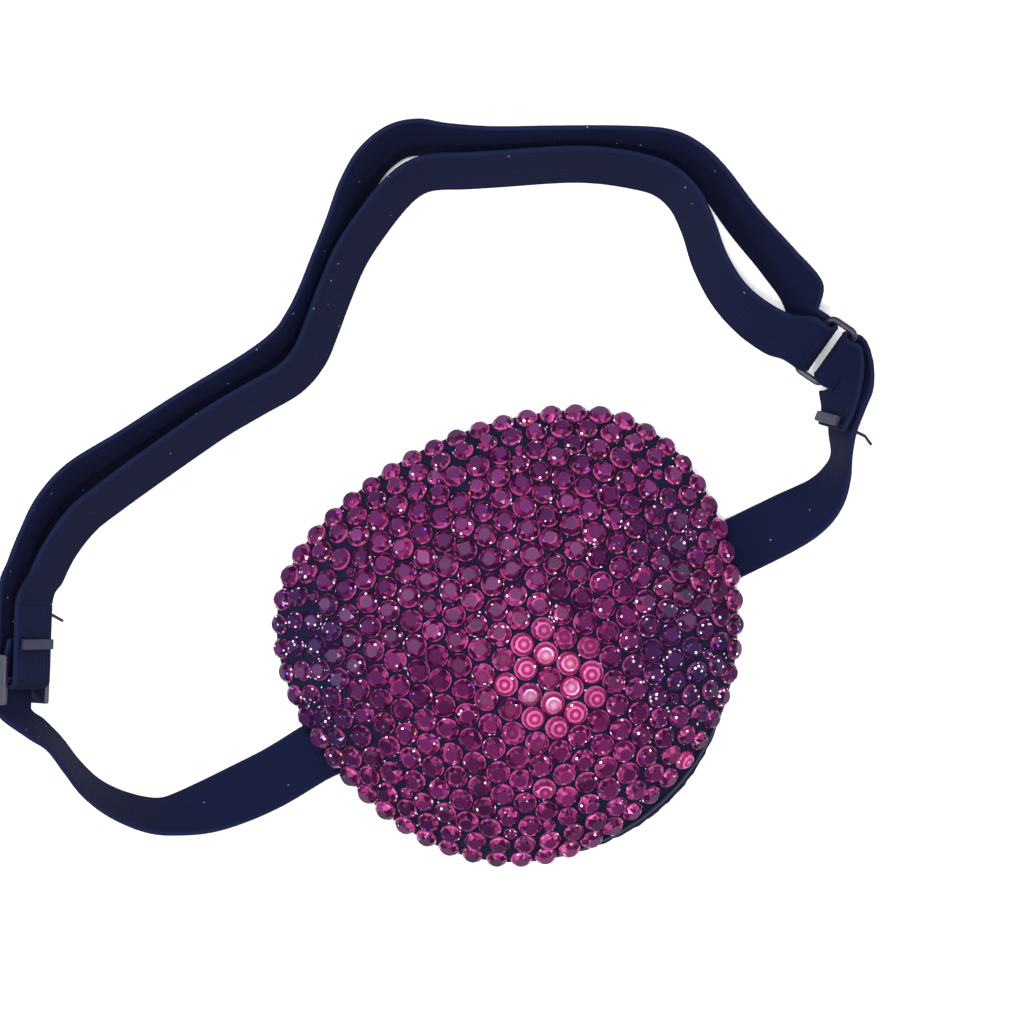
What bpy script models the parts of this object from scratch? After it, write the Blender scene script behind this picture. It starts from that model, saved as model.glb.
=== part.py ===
"""Rhinestone eye patch on an adjustable elastic strap.

Frame: origin on the plane the rim rests on, at the middle of the patch. +X runs along the two sewn
strap ends, +Y points to the brow, +Z points out of the dome. Metres.
"""
import bpy
import bmesh
from math import atan2, cos, exp, hypot, pi, radians, sin
from mathutils import Vector

mm = 0.001
collection_name = "rhinestone_eye_patch"

# Outline of the patch, seen from the front: a round lower half and two brow corners.
round_radius = 35.0 * mm
corner_reach = 5.1 * mm
corner_angle = 124.0
corner_spread_below = 34.0
corner_spread_above = 28.0
cheek_reach = 1.2 * mm
cheek_angle = -38.0
cheek_spread = 32.0
flat_reach = 0.4 * mm
flat_angle = 45.0
flat_spread = 25.0

# Dome and its layers.
dome_rise = 10.4 * mm
skirt_height = 1.1 * mm
dome_power = 2.4
inner_layer_share = 0.92
segments = 36
layer_rings = 5
fit_gap = 0.3 * mm
shell_wall = 1.0 * mm
cover_cloth = 0.5 * mm
foam_thick = 1.2 * mm
lining_cloth = 0.5 * mm
crystal_height = 1.6 * mm
crystal_diameter = 3.9 * mm
crystal_rows = 8
crystal_facets = 12
crown_crystals = 6

# Rim binding: a folded band with a flat underside, notched where the strap ends pass.
binding_width = 7.2 * mm
binding_height = 3.0 * mm
binding_bevel = 0.7 * mm
crystal_margin = 1.8 * mm
thread_radius = 0.3 * mm
thread_inset = 0.9 * mm

# Elastic strap and what is on it.
strap_width = 9.5 * mm
strap_thick = 0.9 * mm
strap_spacing = 3.0 * mm
strap_floor_gap = 0.2 * mm
strap_axis_y = -1.6 * mm
strap_end_inside = 6.0 * mm
strap_end_outside = 0.4 * mm
notch_clearance = 0.3 * mm
tack_length = 1.6 * mm
tack_width = 8.0 * mm
tack_thick = 0.5 * mm
stray_thread_radius = 0.25 * mm

# Wire ring between the long strap and the tab.
ring_wire = 1.1 * mm
ring_bar_spacing = 4.8 * mm
ring_side_clearance = 0.4 * mm
ring_corner = 1.0 * mm
ring_loop_clearance = 0.5 * mm
ring_place = Vector((63.95, 20.4, 4.7)) * mm
ring_heading = -60.0
ring_lean = 33.0
ring_lead_length = 2.4 * mm
tab_lead_length = 2.0 * mm

# Three-bar slider on the straight stretch of the strap.
slider_bar = 0.9 * mm
slider_half_length = 3.5 * mm
slider_side_wall = 1.0 * mm
slider_side_clearance = 0.4 * mm
slider_bevel = 0.2 * mm
slider_end_bar_gap = 0.7 * mm
fold_gap = 0.25 * mm
slider_place = Vector((-75.5, 30.2, 6.9)) * mm
slider_heading = 62.0
slider_lean = 60.0
straight_length = 14.0 * mm
sewn_end_length = 12.0 * mm
sewn_tail_length = 6.5 * mm
slack_length = 9.0 * mm

# Routes of the strap where it lies on the table: x and y in millimetres, and the lean of its width
# out of the table in degrees. The upper edge leans outwards.
left_route = [
    (-46.4, -2.3, 5), (-55.8, -1.9, 28), (-62.0, -0.6, 50), (-65.7, 1.1, 60), (-69.6, 4.9, 68),
    (-72.2, 9.1, 75), (-73.5, 13.6, 80), (-74.4, 18.0, 80), (-76.0, 21.5, 74),
]
outer_route = [
    (-66.2, 45.8, 62), (-62.8, 48.9, 62), (-58.2, 52.4, 61), (-52.2, 54.7, 59), (-42.7, 55.6, 58),
    (-31.7, 56.9, 58), (-19.6, 58.0, 58), (-13.2, 59.3, 58), (-9.4, 61.3, 58), (-5.8, 64.0, 58),
    (-1.5, 67.9, 58), (3.2, 72.2, 58), (7.6, 76.5, 58), (12.0, 79.5, 58), (16.6, 80.6, 58),
    (20.4, 79.7, 58), (24.1, 77.1, 58), (30.5, 73.4, 58), (40.0, 68.9, 58), (49.0, 64.5, 58),
    (55.1, 61.0, 58), (57.9, 57.8, 59), (59.7, 53.1, 59), (61.3, 44.6, 57), (63.4, 36.6, 53),
    (64.7, 29.9, 45),
]
inner_route = [
    (-63.9, 42.6, 62), (-60.0, 45.6, 62), (-55.0, 48.2, 60), (-50.2, 49.4, 59), (-40.8, 51.1, 58),
    (-29.1, 52.9, 58), (-21.7, 53.5, 58), (-15.0, 54.0, 58), (-10.6, 55.9, 58), (-6.9, 59.1, 58),
    (-2.7, 63.1, 58), (2.6, 67.6, 58), (8.8, 71.2, 58), (13.4, 73.3, 58), (16.9, 74.1, 58),
    (20.2, 73.6, 58), (24.7, 71.6, 58), (29.5, 69.6, 58), (38.9, 65.8, 58), (44.2, 63.1, 58),
    (49.3, 59.6, 58), (52.6, 56.4, 59), (54.3, 52.2, 59), (54.3, 47.2, 59), (53.6, 41.6, 57),
    (53.9, 35.8, 54), (55.6, 30.6, 49), (58.3, 26.3, 43),
]
tab_route = [
    (65.6, 14.0, 50), (63.6, 11.2, 60), (60.8, 7.9, 68), (58.9, 4.4, 76), (56.9, 2.1, 66),
    (54.3, 0.2, 50), (51.0, -1.0, 32), (46.0, -1.5, 12),
]
tab_tail_route = [(63.0, 13.4, 52), (61.4, 10.9, 62), (59.4, 9.0, 68)]

navy = (0.010, 0.014, 0.045)


def clear_scene():
    for item in list(bpy.data.objects):
        bpy.data.objects.remove(item, do_unlink=True)


def new_collection(name):
    collection = bpy.data.collections.new(name)
    bpy.context.scene.collection.children.link(collection)
    return collection


def material(name, colour, roughness, metallic=0.0):
    made = bpy.data.materials.new(name)
    made.use_nodes = True
    shader = made.node_tree.nodes["Principled BSDF"]
    shader.inputs["Base Color"].default_value = (*colour, 1.0)
    shader.inputs["Roughness"].default_value = roughness
    shader.inputs["Metallic"].default_value = metallic
    made.diffuse_color = (*colour, 1.0)
    return made


def finish_object(name, data, finish, collection, smooth=True):
    made = bpy.data.objects.new(name, data)
    collection.objects.link(made)
    data.materials.append(finish)
    if smooth and made.type == "MESH":
        data.shade_smooth()
        data.set_sharp_from_angle(angle=radians(40))
    return made


def mesh_object(name, shape, finish, collection):
    data = bpy.data.meshes.new(name)
    shape.to_mesh(data)
    shape.free()
    return finish_object(name, data, finish, collection)


def solidify(item, thickness, offset):
    wall = item.modifiers.new("wall", "SOLIDIFY")
    wall.thickness = thickness
    wall.offset = offset
    wall.use_even_offset = True


def bevel(item, width, steps=1):
    edge = item.modifiers.new("edge", "BEVEL")
    edge.width = width
    edge.segments = steps
    edge.limit_method = "ANGLE"
    edge.angle_limit = radians(50)


def as_mesh(item):
    """Replace a curve object by a closed mesh object at the same place."""
    graph = bpy.context.evaluated_depsgraph_get()
    data = bpy.data.meshes.new_from_object(item.evaluated_get(graph))
    shape = bmesh.new()
    shape.from_mesh(data)
    bmesh.ops.remove_doubles(shape, verts=shape.verts, dist=0.01 * mm)
    bmesh.ops.recalc_face_normals(shape, faces=shape.faces)
    shape.to_mesh(data)
    shape.free()
    made = bpy.data.objects.new(item.name + "_mesh", data)
    made.matrix_world = item.matrix_world
    collection = item.users_collection[0]
    collection.objects.link(made)
    name = item.name
    bpy.data.objects.remove(item, do_unlink=True)
    made.name = name
    return made


# --- the patch ---------------------------------------------------------------------------------


def reach(angle):
    """Distance from the middle to the outline; the angle is in degrees, 0 at the chin side."""
    signed = (angle + 180.0) % 360.0 - 180.0
    turned = abs(signed)
    spread = corner_spread_above if turned > corner_angle else corner_spread_below
    corner = corner_reach * exp(-(((turned - corner_angle) / spread) ** 2))
    cheek = cheek_reach * exp(-(((signed - cheek_angle) / cheek_spread) ** 2))
    flat = flat_reach * exp(-(((signed - flat_angle) / flat_spread) ** 2))
    return round_radius + corner + cheek - flat


def outline_point(azimuth, inset, height):
    """A point inside the outline by inset. The azimuth is in radians, 0 at the chin side."""
    distance = reach(azimuth * 180.0 / pi) - inset
    return Vector((distance * sin(azimuth), -distance * cos(azimuth), height))


def patch_half_width():
    """Half width of the outline beside the strap ends."""
    sides = [outline_point(radians(angle), 0.0, 0.0) for angle in range(78, 102)]
    near = [side.x for side in sides if abs(side.y - strap_axis_y) < strap_width / 2 + fit_gap]
    return max(near)


def layer_floor():
    return binding_height + 2.0 * fit_gap


def shell_inset():
    """How far the shell's outer face lies inside the outline at the rim."""
    return crystal_margin + crystal_height + cover_cloth + 2.0 * fit_gap


def dome_point(share, azimuth):
    """A point of the shell's outer face: share is 0 at the crown, 1 at the skirt and 2 at its foot."""
    edge = outline_point(azimuth, shell_inset(), 0.0)
    across = min(share, 1.0)
    skirt = skirt_height * min(1.0, 2.0 - share)
    height = layer_floor() + skirt + dome_rise * (1.0 - across ** dome_power)
    return Vector((edge.x * across, edge.y * across, height))


def dome_mesh(shares):
    """An open cap of the dome with a ring at each share."""
    shape = bmesh.new()
    rings = len(shares)
    bmesh.ops.create_uvsphere(shape, u_segments=segments, v_segments=2 * rings, radius=1.0)
    lower = [vert for vert in shape.verts if vert.co.z < -0.001]
    bmesh.ops.delete(shape, geom=lower, context="VERTS")
    for vert in shape.verts:
        ring = round(atan2(hypot(vert.co.x, vert.co.y), vert.co.z) / (pi / 2.0) * rings)
        share = shares[ring - 1] if ring else 0.0
        vert.co = dome_point(share, atan2(vert.co.x, -vert.co.y))
    return shape


def band_mesh(start, end):
    """A closed strip of the dome between two shares."""
    shape = bmesh.new()
    bmesh.ops.create_cone(shape, cap_ends=False, segments=segments, radius1=1.0, radius2=1.0, depth=2.0)
    for vert in shape.verts:
        share = start if vert.co.z > 0.0 else end
        vert.co = dome_point(share, atan2(vert.co.x, -vert.co.y))
    bmesh.ops.recalc_face_normals(shape, faces=shape.faces)
    if sum(face.normal.z for face in shape.faces) < 0.0:
        bmesh.ops.reverse_faces(shape, faces=shape.faces)
    return shape


def lift_faces(shape, distance):
    """Move every face the same distance along its normal, creases included."""
    shape.normal_update()
    for vert in shape.verts:
        vert.co += vert.normal * (distance * vert.calc_shell_factor())


def layer(name, lift, thickness, finish, collection, edge_share=1.0):
    """A dome layer whose inner face is lift above the shell's outer face."""
    shares = [edge_share * (ring + 1) / layer_rings for ring in range(layer_rings)]
    if edge_share == 1.0:
        shares.append(2.0)
    shape = dome_mesh(shares)
    lift_faces(shape, lift)
    made = mesh_object(name, shape, finish, collection)
    solidify(made, thickness, 1.0)
    return made


def ring_band_shares():
    """Shares where the crystal rows start and end, equal steps of arc from the crown cluster out."""
    steps = 90
    walk = [dome_point(step / steps, pi / 2.0) for step in range(steps + 1)]
    lengths = [0.0]
    for first, second in zip(walk, walk[1:]):
        lengths.append(lengths[-1] + (second - first).length)
    first_row = 1.5 * crystal_diameter + fit_gap
    pitch = (lengths[-1] - first_row) / crystal_rows
    shares = []
    for row in range(crystal_rows + 1):
        target = first_row + row * pitch
        step = min(steps, max(index for index, at in enumerate(lengths) if at <= target + 1e-9))
        ahead = min(step + 1, steps)
        span = max(lengths[ahead] - lengths[step], 1e-9)
        shares.append(min(1.0, (step + (target - lengths[step]) / span) / steps))
    return shares, pitch


def crystal_lift():
    return cover_cloth + 2.0 * fit_gap


def make_crystal_rows(finish, collection):
    shares, pitch = ring_band_shares()
    for row in range(crystal_rows):
        gap = fit_gap / 2.0 / pitch * (shares[row + 1] - shares[row])
        shape = band_mesh(shares[row] + gap, shares[row + 1] - gap)
        lift_faces(shape, crystal_lift())
        made = mesh_object(f"crystal_row_{row + 1:02d}", shape, finish, collection)
        solidify(made, crystal_height, 1.0)


def make_crown_crystal(number, place, finish, collection):
    """One flat-backed stone: a wide girdle near the base, a slope and a flat table."""
    shape = bmesh.new()
    radius = crystal_diameter / 2.0
    bmesh.ops.create_cone(shape, cap_ends=True, segments=crystal_facets, radius1=radius,
                          radius2=0.55 * radius, depth=crystal_height)
    bmesh.ops.translate(shape, verts=shape.verts, vec=Vector((0.0, 0.0, crystal_height / 2.0)))
    made = mesh_object(f"crown_crystal_{number}", shape, finish, collection)
    made.location = place
    return made


def make_crown_crystals(finish, collection):
    seat = dome_point(0.0, 0.0).z + crystal_lift()
    make_crown_crystal(0, Vector((0.0, 0.0, seat)), finish, collection)
    reach_out = crystal_diameter + 0.5 * fit_gap
    for number in range(crown_crystals):
        angle = number * 2.0 * pi / crown_crystals
        place = Vector((reach_out * cos(angle), reach_out * sin(angle), seat))
        make_crown_crystal(number + 1, place, finish, collection)


def strap_centre_height():
    return strap_floor_gap + strap_thick / 2.0


def notch_cutter(side, cutters):
    """A box that clears the sewn strap end under the binding."""
    shape = bmesh.new()
    bmesh.ops.create_cube(shape, size=1.0)
    height = 2.0 * (strap_floor_gap + strap_thick + notch_clearance)
    width = strap_width + 2.0 * notch_clearance
    length = 4.0 * binding_width
    bmesh.ops.scale(shape, verts=shape.verts, vec=Vector((length, width, height)))
    data = bpy.data.meshes.new(f"notch_{side}")
    shape.to_mesh(data)
    shape.free()
    cutter = bpy.data.objects.new(f"notch_{side}", data)
    cutters.objects.link(cutter)
    cutter.location = (side * patch_half_width(), strap_axis_y, 0.0)
    cutter.hide_render = True
    cutter.display_type = "WIRE"
    return cutter


def make_edge_binding(finish, collection, cutters):
    shape = bmesh.new()
    bmesh.ops.create_cone(shape, cap_ends=False, segments=segments, radius1=1.0, radius2=1.0, depth=2.0)
    for vert in shape.verts:
        inset = binding_width if vert.co.z > 0.0 else 0.0
        vert.co = outline_point(atan2(vert.co.x, -vert.co.y), inset, binding_height)
    bmesh.ops.recalc_face_normals(shape, faces=shape.faces)
    shape.normal_update()
    if sum(face.normal.z for face in shape.faces) < 0.0:
        bmesh.ops.reverse_faces(shape, faces=shape.faces)
    made = mesh_object("edge_binding", shape, finish, collection)
    solidify(made, binding_height, -1.0)
    bevel(made, binding_bevel)
    for side in (-1, 1):
        cut = made.modifiers.new(f"notch_{side}", "BOOLEAN")
        cut.operation = "DIFFERENCE"
        cut.object = notch_cutter(side, cutters)
        cut.solver = "EXACT"
    return made


def tube(name, points, radius, finish, collection, cyclic=False, sides=2):
    curve = bpy.data.curves.new(name, "CURVE")
    curve.dimensions = "3D"
    curve.bevel_depth = radius
    curve.bevel_resolution = sides
    curve.use_fill_caps = not cyclic
    curve.resolution_u = 1
    curve.render_resolution_u = 0
    line = curve.splines.new("POLY")
    line.points.add(len(points) - 1)
    for spot, place in zip(line.points, points):
        spot.co = (*place, 1.0)
    line.use_cyclic_u = cyclic
    made = bpy.data.objects.new(name, curve)
    collection.objects.link(made)
    curve.materials.append(finish)
    made = as_mesh(made)
    made.data.shade_smooth()
    made.data.set_sharp_from_angle(angle=radians(50))
    return made


def make_rim_stitching(finish, collection):
    height = binding_height + fit_gap + thread_radius
    points = [outline_point(turn * 2.0 * pi / 48, thread_inset, height) for turn in range(48)]
    tube("rim_stitching", points, thread_radius, finish, collection, cyclic=True, sides=0)


# --- straps ------------------------------------------------------------------------------------


def heading_frame(heading, lean):
    """Directions along a flat strap, across it, and out of its upper face."""
    along = Vector((cos(radians(heading)), sin(radians(heading)), 0.0))
    outward = Vector((-along.y, along.x, 0.0))
    across = outward * cos(radians(lean)) + Vector((0.0, 0.0, sin(radians(lean))))
    return along, across, along.cross(across)


def lying(route):
    """Stations (centre, across) of a strap that lies on the table along a route."""
    spots = [Vector((x, y, 0.0)) * mm for x, y, lean in route]
    stations = []
    for index, (x, y, lean) in enumerate(route):
        before = spots[max(index - 1, 0)]
        after = spots[min(index + 1, len(spots) - 1)]
        run = (after - before).normalized()
        outward = Vector((-run.y, run.x, 0.0))
        tilt = radians(lean)
        across = outward * cos(tilt) + Vector((0.0, 0.0, sin(tilt)))
        height = strap_floor_gap + strap_width / 2.0 * sin(tilt) + strap_thick / 2.0 * cos(tilt)
        stations.append((spots[index] + Vector((0.0, 0.0, height)), across))
    return stations


def spline(stations, spacing, before=None, after=None):
    """Stations a spacing apart on the smooth curve through the given ones.

    The curve leaves the first and last station in line with the guides before and after them.
    """
    guided = [before or stations[0], *stations, after or stations[-1]]
    made = []
    for index in range(len(stations) - 1):
        near = guided[index:index + 4]
        length = (near[2][0] - near[1][0]).length
        parts = max(1, round(length / spacing))
        for part in range(parts):
            at = part / parts
            made.append(tuple(catmull([item[k] for item in near], at) for k in (0, 1)))
    made.append(stations[-1])
    return [(centre, across.normalized()) for centre, across in made]


def catmull(four, at):
    first, second, third, fourth = four
    return 0.5 * (2.0 * second + (third - first) * at
                  + (2.0 * first - 5.0 * second + 4.0 * third - fourth) * at ** 2
                  + (3.0 * second - first - 3.0 * third + fourth) * at ** 3)


def ribbon(name, stations, finish, collection, width=strap_width, thickness=strap_thick):
    """A flat strap: a strip of faces through the stations, given its thickness."""
    shape = bmesh.new()
    count = len(stations)
    bmesh.ops.create_grid(shape, x_segments=count - 1, y_segments=1, size=1.0)
    for vert in shape.verts:
        index = round((vert.co.x + 1.0) / 2.0 * (count - 1))
        centre, across = stations[index]
        vert.co = centre + across * (width / 2.0 if vert.co.y > 0.0 else -width / 2.0)
    made = mesh_object(name, shape, finish, collection)
    solidify(made, thickness, 0.0)
    return made


def offset(stations, distance):
    """The same stations, moved out of the strap's upper face."""
    moved = []
    for index, (centre, across) in enumerate(stations):
        before = stations[max(index - 1, 0)][0]
        after = stations[min(index + 1, len(stations) - 1)][0]
        moved.append((centre + (after - before).normalized().cross(across) * distance, across))
    return moved


def part_of(stations, start, end):
    """The stretch of the stations between two distances along it."""
    at = 0.0
    made = []
    for (here, here_across), (there, there_across) in zip(stations, stations[1:]):
        length = (there - here).length
        for mark in (start, end):
            if at <= mark < at + length:
                share = (mark - at) / length
                made.append((here.lerp(there, share), here_across.lerp(there_across, share)))
        at += length
        if start + fit_gap < at < end - fit_gap:
            made.append((there, there_across))
    if at <= end:
        made.append(stations[-1])
    return [(centre, across.normalized()) for centre, across in made]


def ring_frame():
    return heading_frame(ring_heading, ring_lean)


def ring_loop_radius():
    return ring_wire / 2.0 + ring_loop_clearance + strap_thick / 2.0


def ring_bar(side):
    """Middle of a ring bar: -1 holds the long strap, 1 holds the tab."""
    return ring_place + ring_frame()[0] * (side * ring_bar_spacing / 2.0)


def ring_turn(side, start_level):
    """Half turn round a ring bar, from the start level (-1 lower, 1 upper) to the other."""
    along, across, up = ring_frame()
    radius = ring_loop_radius()
    stations = []
    for step in range(9):
        turn = pi * step / 8
        spot = ring_bar(side) - along * (side * radius * sin(turn)) + up * (start_level * radius * cos(turn))
        stations.append((spot, across))
    return stations


def ring_lead(side, level, distance):
    along, across, up = ring_frame()
    spot = ring_bar(side) + along * (side * distance) + up * (level * ring_loop_radius())
    return spot, across


def slider_frame_axes():
    return heading_frame(slider_heading, slider_lean)


def on_straight(distance, level):
    along, across, up = slider_frame_axes()
    return slider_place + along * distance + up * level, across


def ply_pitch():
    return strap_thick / 2.0 + fold_gap + slider_bar / 2.0


def centre_bar_level():
    return 2.0 * ply_pitch()


def root_station(side):
    """Start of the free strap beside the patch, across in the sense of the loop."""
    across = Vector((0.0, -1.0, 0.0))
    distance = patch_half_width() + strap_end_outside + fit_gap
    return Vector((side * distance, strap_axis_y, strap_centre_height())), across


def make_strap_end(side, name, finish, collection):
    """The flat end that is sewn under the binding."""
    outer = patch_half_width() + strap_end_outside
    inner = patch_half_width() - binding_width - strap_end_inside
    across = Vector((0.0, 1.0, 0.0))
    stations = [(Vector((side * x, strap_axis_y, strap_centre_height())), across) for x in (inner, outer)]
    ribbon(name, stations, finish, collection)


def make_bar_tack(side, name, finish, collection):
    inner = patch_half_width() - binding_width - strap_end_inside
    middle = inner + tack_length
    height = strap_centre_height() + strap_thick / 2.0 + fit_gap + tack_thick / 2.0
    across = Vector((0.0, 1.0, 0.0))
    ends = (middle - tack_length / 2.0, middle + tack_length / 2.0)
    stations = [(Vector((side * x, strap_axis_y, height)), across) for x in ends]
    ribbon(name, stations, finish, collection, width=tack_width, thickness=tack_thick)


def left_strap_stations():
    """Single strap from the patch's left side to the slider's centre bar."""
    lead = slider_half_length + 1.5 * slider_bar
    root = root_station(-1)
    curved = [root, *lying(left_route), on_straight(-lead, 0.0)]
    level = (root[0] + Vector((strap_spacing, 0.0, 0.0)), root[1])
    return [*spline(curved, strap_spacing, before=level, after=on_straight(0.0, 0.0)),
            on_straight(-fit_gap, 0.0)]


def outer_run_stations():
    """From the slider's centre bar round the outside of the loop to the ring's lower side."""
    lead = ring_lead_length
    curved = [on_straight(straight_length, 0.0), *lying(outer_route), ring_lead(-1, -1, lead)]
    before = on_straight(0.0, 0.0)
    after = ring_lead(-1, -1, 0.0)
    return [before, *spline(curved, strap_spacing, before=before, after=after)]


def sewn_end_stations():
    """The strap end folded round the slider's centre bar and laid on itself."""
    along, across, up = slider_frame_axes()
    stations = [on_straight(sewn_tail_length * share, level * ply_pitch())
                for share, level in ((1.0, 1.9), (0.7, 1.55), (0.4, 1.15), (0.15, 1.0))]
    centre, _ = on_straight(0.0, centre_bar_level())
    for step in range(9):
        turn = pi * step / 8
        spot = centre - along * (ply_pitch() * sin(turn)) - up * (ply_pitch() * cos(turn))
        stations.append((spot, across))
    upper = 3.0 * ply_pitch()
    stations += [on_straight(sewn_end_length * share, upper + lift * ply_pitch())
                 for share, lift in ((0.2, 0.0), (0.6, 0.0), (1.0, 0.0))]
    return stations


def make_straps(finish, thread, collection):
    make_strap_end(-1, "left_strap_end", finish, collection)
    make_strap_end(1, "right_strap_end", finish, collection)
    make_bar_tack(-1, "left_bar_tack", thread, collection)
    make_bar_tack(1, "right_bar_tack", thread, collection)
    ribbon("left_strap", left_strap_stations(), finish, collection)
    ribbon("outer_run", outer_run_stations() + ring_turn(-1, -1), finish, collection)
    inner_top = [ring_lead(-1, 1, fit_gap), ring_lead(-1, 1, ring_lead_length)]
    lie = list(reversed(lying(inner_route)))
    end = on_straight(sewn_end_length + fit_gap, 3.0 * ply_pitch())
    inner = spline([*inner_top, *lie, end], strap_spacing, after=on_straight(0.0, 3.0 * ply_pitch()))
    length = sum((b[0] - a[0]).length for a, b in zip(inner, inner[1:]))
    split = length - slack_length
    ribbon("inner_run", part_of(inner, 0.0, split), finish, collection)
    ribbon("inner_run_slack", part_of(inner, split + fit_gap, length), finish, collection)
    fold = sewn_end_stations()
    ribbon("sewn_end", fold, finish, collection)
    tack = on_straight(sewn_tail_length - tack_length, 3.0 * ply_pitch())
    ahead = on_straight(sewn_tail_length, 3.0 * ply_pitch())
    lift = strap_thick / 2.0 + fit_gap + tack_thick / 2.0
    ribbon("sewn_end_bar_tack", offset([tack, ahead], lift), thread, collection,
           width=tack_width, thickness=tack_thick)


def shifted(station, towards, distance):
    """The station moved a distance towards another."""
    step = (towards[0] - station[0]).normalized() * distance
    return station[0] + step, station[1]


def make_tab(finish, thread, collection):
    """Short strap from the patch's right side, folded round the ring and sewn to itself."""
    root = root_station(1)
    tail = lying(tab_tail_route)
    lead = [ring_lead(1, 1, 0.0), ring_lead(1, 1, tab_lead_length)]
    main = [ring_lead(1, -1, 0.0), ring_lead(1, -1, tab_lead_length), *lying(tab_route), root]
    level = (root[0] - Vector((strap_spacing, 0.0, 0.0)), root[1])
    upper = list(reversed(spline([*lead, *tail], strap_spacing)))
    lower = spline(main, strap_spacing, after=level)
    ribbon("right_tab", upper[:-1] + ring_turn(1, 1) + lower[1:], finish, collection)
    lift = strap_thick / 2.0 + 2.0 * fit_gap + tack_thick / 2.0
    end = shifted(tail[-1], tail[-2], fit_gap)
    start = shifted(end, tail[-2], tack_length)
    places = offset([start, end], lift)
    ribbon("tab_bar_tack", places, thread, collection, width=tack_width, thickness=tack_thick)


# --- hardware ----------------------------------------------------------------------------------


def make_ring(finish, collection):
    along, across, up = ring_frame()
    half_long = strap_width / 2.0 + ring_side_clearance + ring_wire / 2.0
    half_short = ring_bar_spacing / 2.0
    points = []
    corners = ((1, 1, 0), (-1, 1, 90), (-1, -1, 180), (1, -1, 270))
    for x_side, y_side, start in corners:
        for step in range(4):
            turn = radians(start + 30 * step)
            u = x_side * (half_short - ring_corner) + ring_corner * cos(turn)
            v = y_side * (half_long - ring_corner) + ring_corner * sin(turn)
            points.append(ring_place + along * u + across * v)
    tube("strap_ring", points, ring_wire / 2.0, finish, collection, cyclic=True, sides=2)


def box(name, size, place, collection):
    shape = bmesh.new()
    bmesh.ops.create_cube(shape, size=1.0)
    bmesh.ops.scale(shape, verts=shape.verts, vec=Vector(size))
    bmesh.ops.translate(shape, verts=shape.verts, vec=Vector(place))
    data = bpy.data.meshes.new(name)
    shape.to_mesh(data)
    shape.free()
    made = bpy.data.objects.new(name, data)
    collection.objects.link(made)
    return made


def make_slider(finish, collection, cutters):
    """Two side walls, a raised centre bar and two end bars under the strap, joined in one piece.

    Each piece has its edges bevelled first, and a bar ends inside the walls.
    """
    end_level = -(strap_thick / 2.0 + slider_end_bar_gap + slider_bar / 2.0)
    centre_level = centre_bar_level()
    wall_at = strap_width / 2.0 + slider_side_clearance + slider_side_wall / 2.0
    length = 2.0 * slider_half_length + slider_bar
    height = centre_level - end_level + slider_bar
    middle = (centre_level + end_level) / 2.0
    made = box("slider_frame", (length, slider_side_wall, height), (0.0, wall_at, middle), collection)
    bevel(made, slider_bevel)
    others = [box("slider_wall", (length, slider_side_wall, height), (0.0, -wall_at, middle), cutters)]
    reach_across = 2.0 * wall_at
    bars = ((0.0, centre_level), (slider_half_length, end_level), (-slider_half_length, end_level))
    for along, level in bars:
        others.append(box("slider_bar", (slider_bar, reach_across, slider_bar), (along, 0.0, level), cutters))
    along, across, up = slider_frame_axes()
    for item in others:
        bevel(item, slider_bevel)
        item.hide_render = True
        item.display_type = "WIRE"
        item.parent = made
        union = made.modifiers.new(item.name, "BOOLEAN")
        union.operation = "UNION"
        union.object = item
        union.solver = "EXACT"
    made.data.materials.append(finish)
    turn = [[along[row], across[row], up[row]] for row in range(3)]
    matrix = made.matrix_world.copy()
    for row in range(3):
        for column in range(3):
            matrix[row][column] = turn[row][column]
        matrix[row][3] = slider_place[row]
    made.matrix_world = matrix
    return made


def make_loose_threads(finish, collection):
    """Ends of the sewing thread left long at the two folded strap ends."""
    along, across, up = slider_frame_axes()
    start, _ = on_straight(sewn_end_length - tack_length, 3.0 * ply_pitch() + strap_thick)
    start -= across * (strap_width / 2.0 - 1.0 * mm)
    inward = Vector((0.55, -0.8, 0.0))
    points = [start, start + inward * 1.0 * mm, start + inward * 2.1 * mm - Vector((0.0, 0.0, 0.3 * mm))]
    tube("sewn_end_thread", points, stray_thread_radius, finish, collection, sides=1)
    under = offset(lying(tab_route), -(strap_thick / 2.0 + 3.0 * fit_gap))[2]
    first = under[0] + under[1] * (strap_width / 4.0)
    second = first + Vector((0.9, -1.2, 0.3)) * mm
    third = first + Vector((1.2, -2.9, 0.2)) * mm
    tube("tab_thread", [first, second, third], stray_thread_radius, finish, collection, sides=1)


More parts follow.
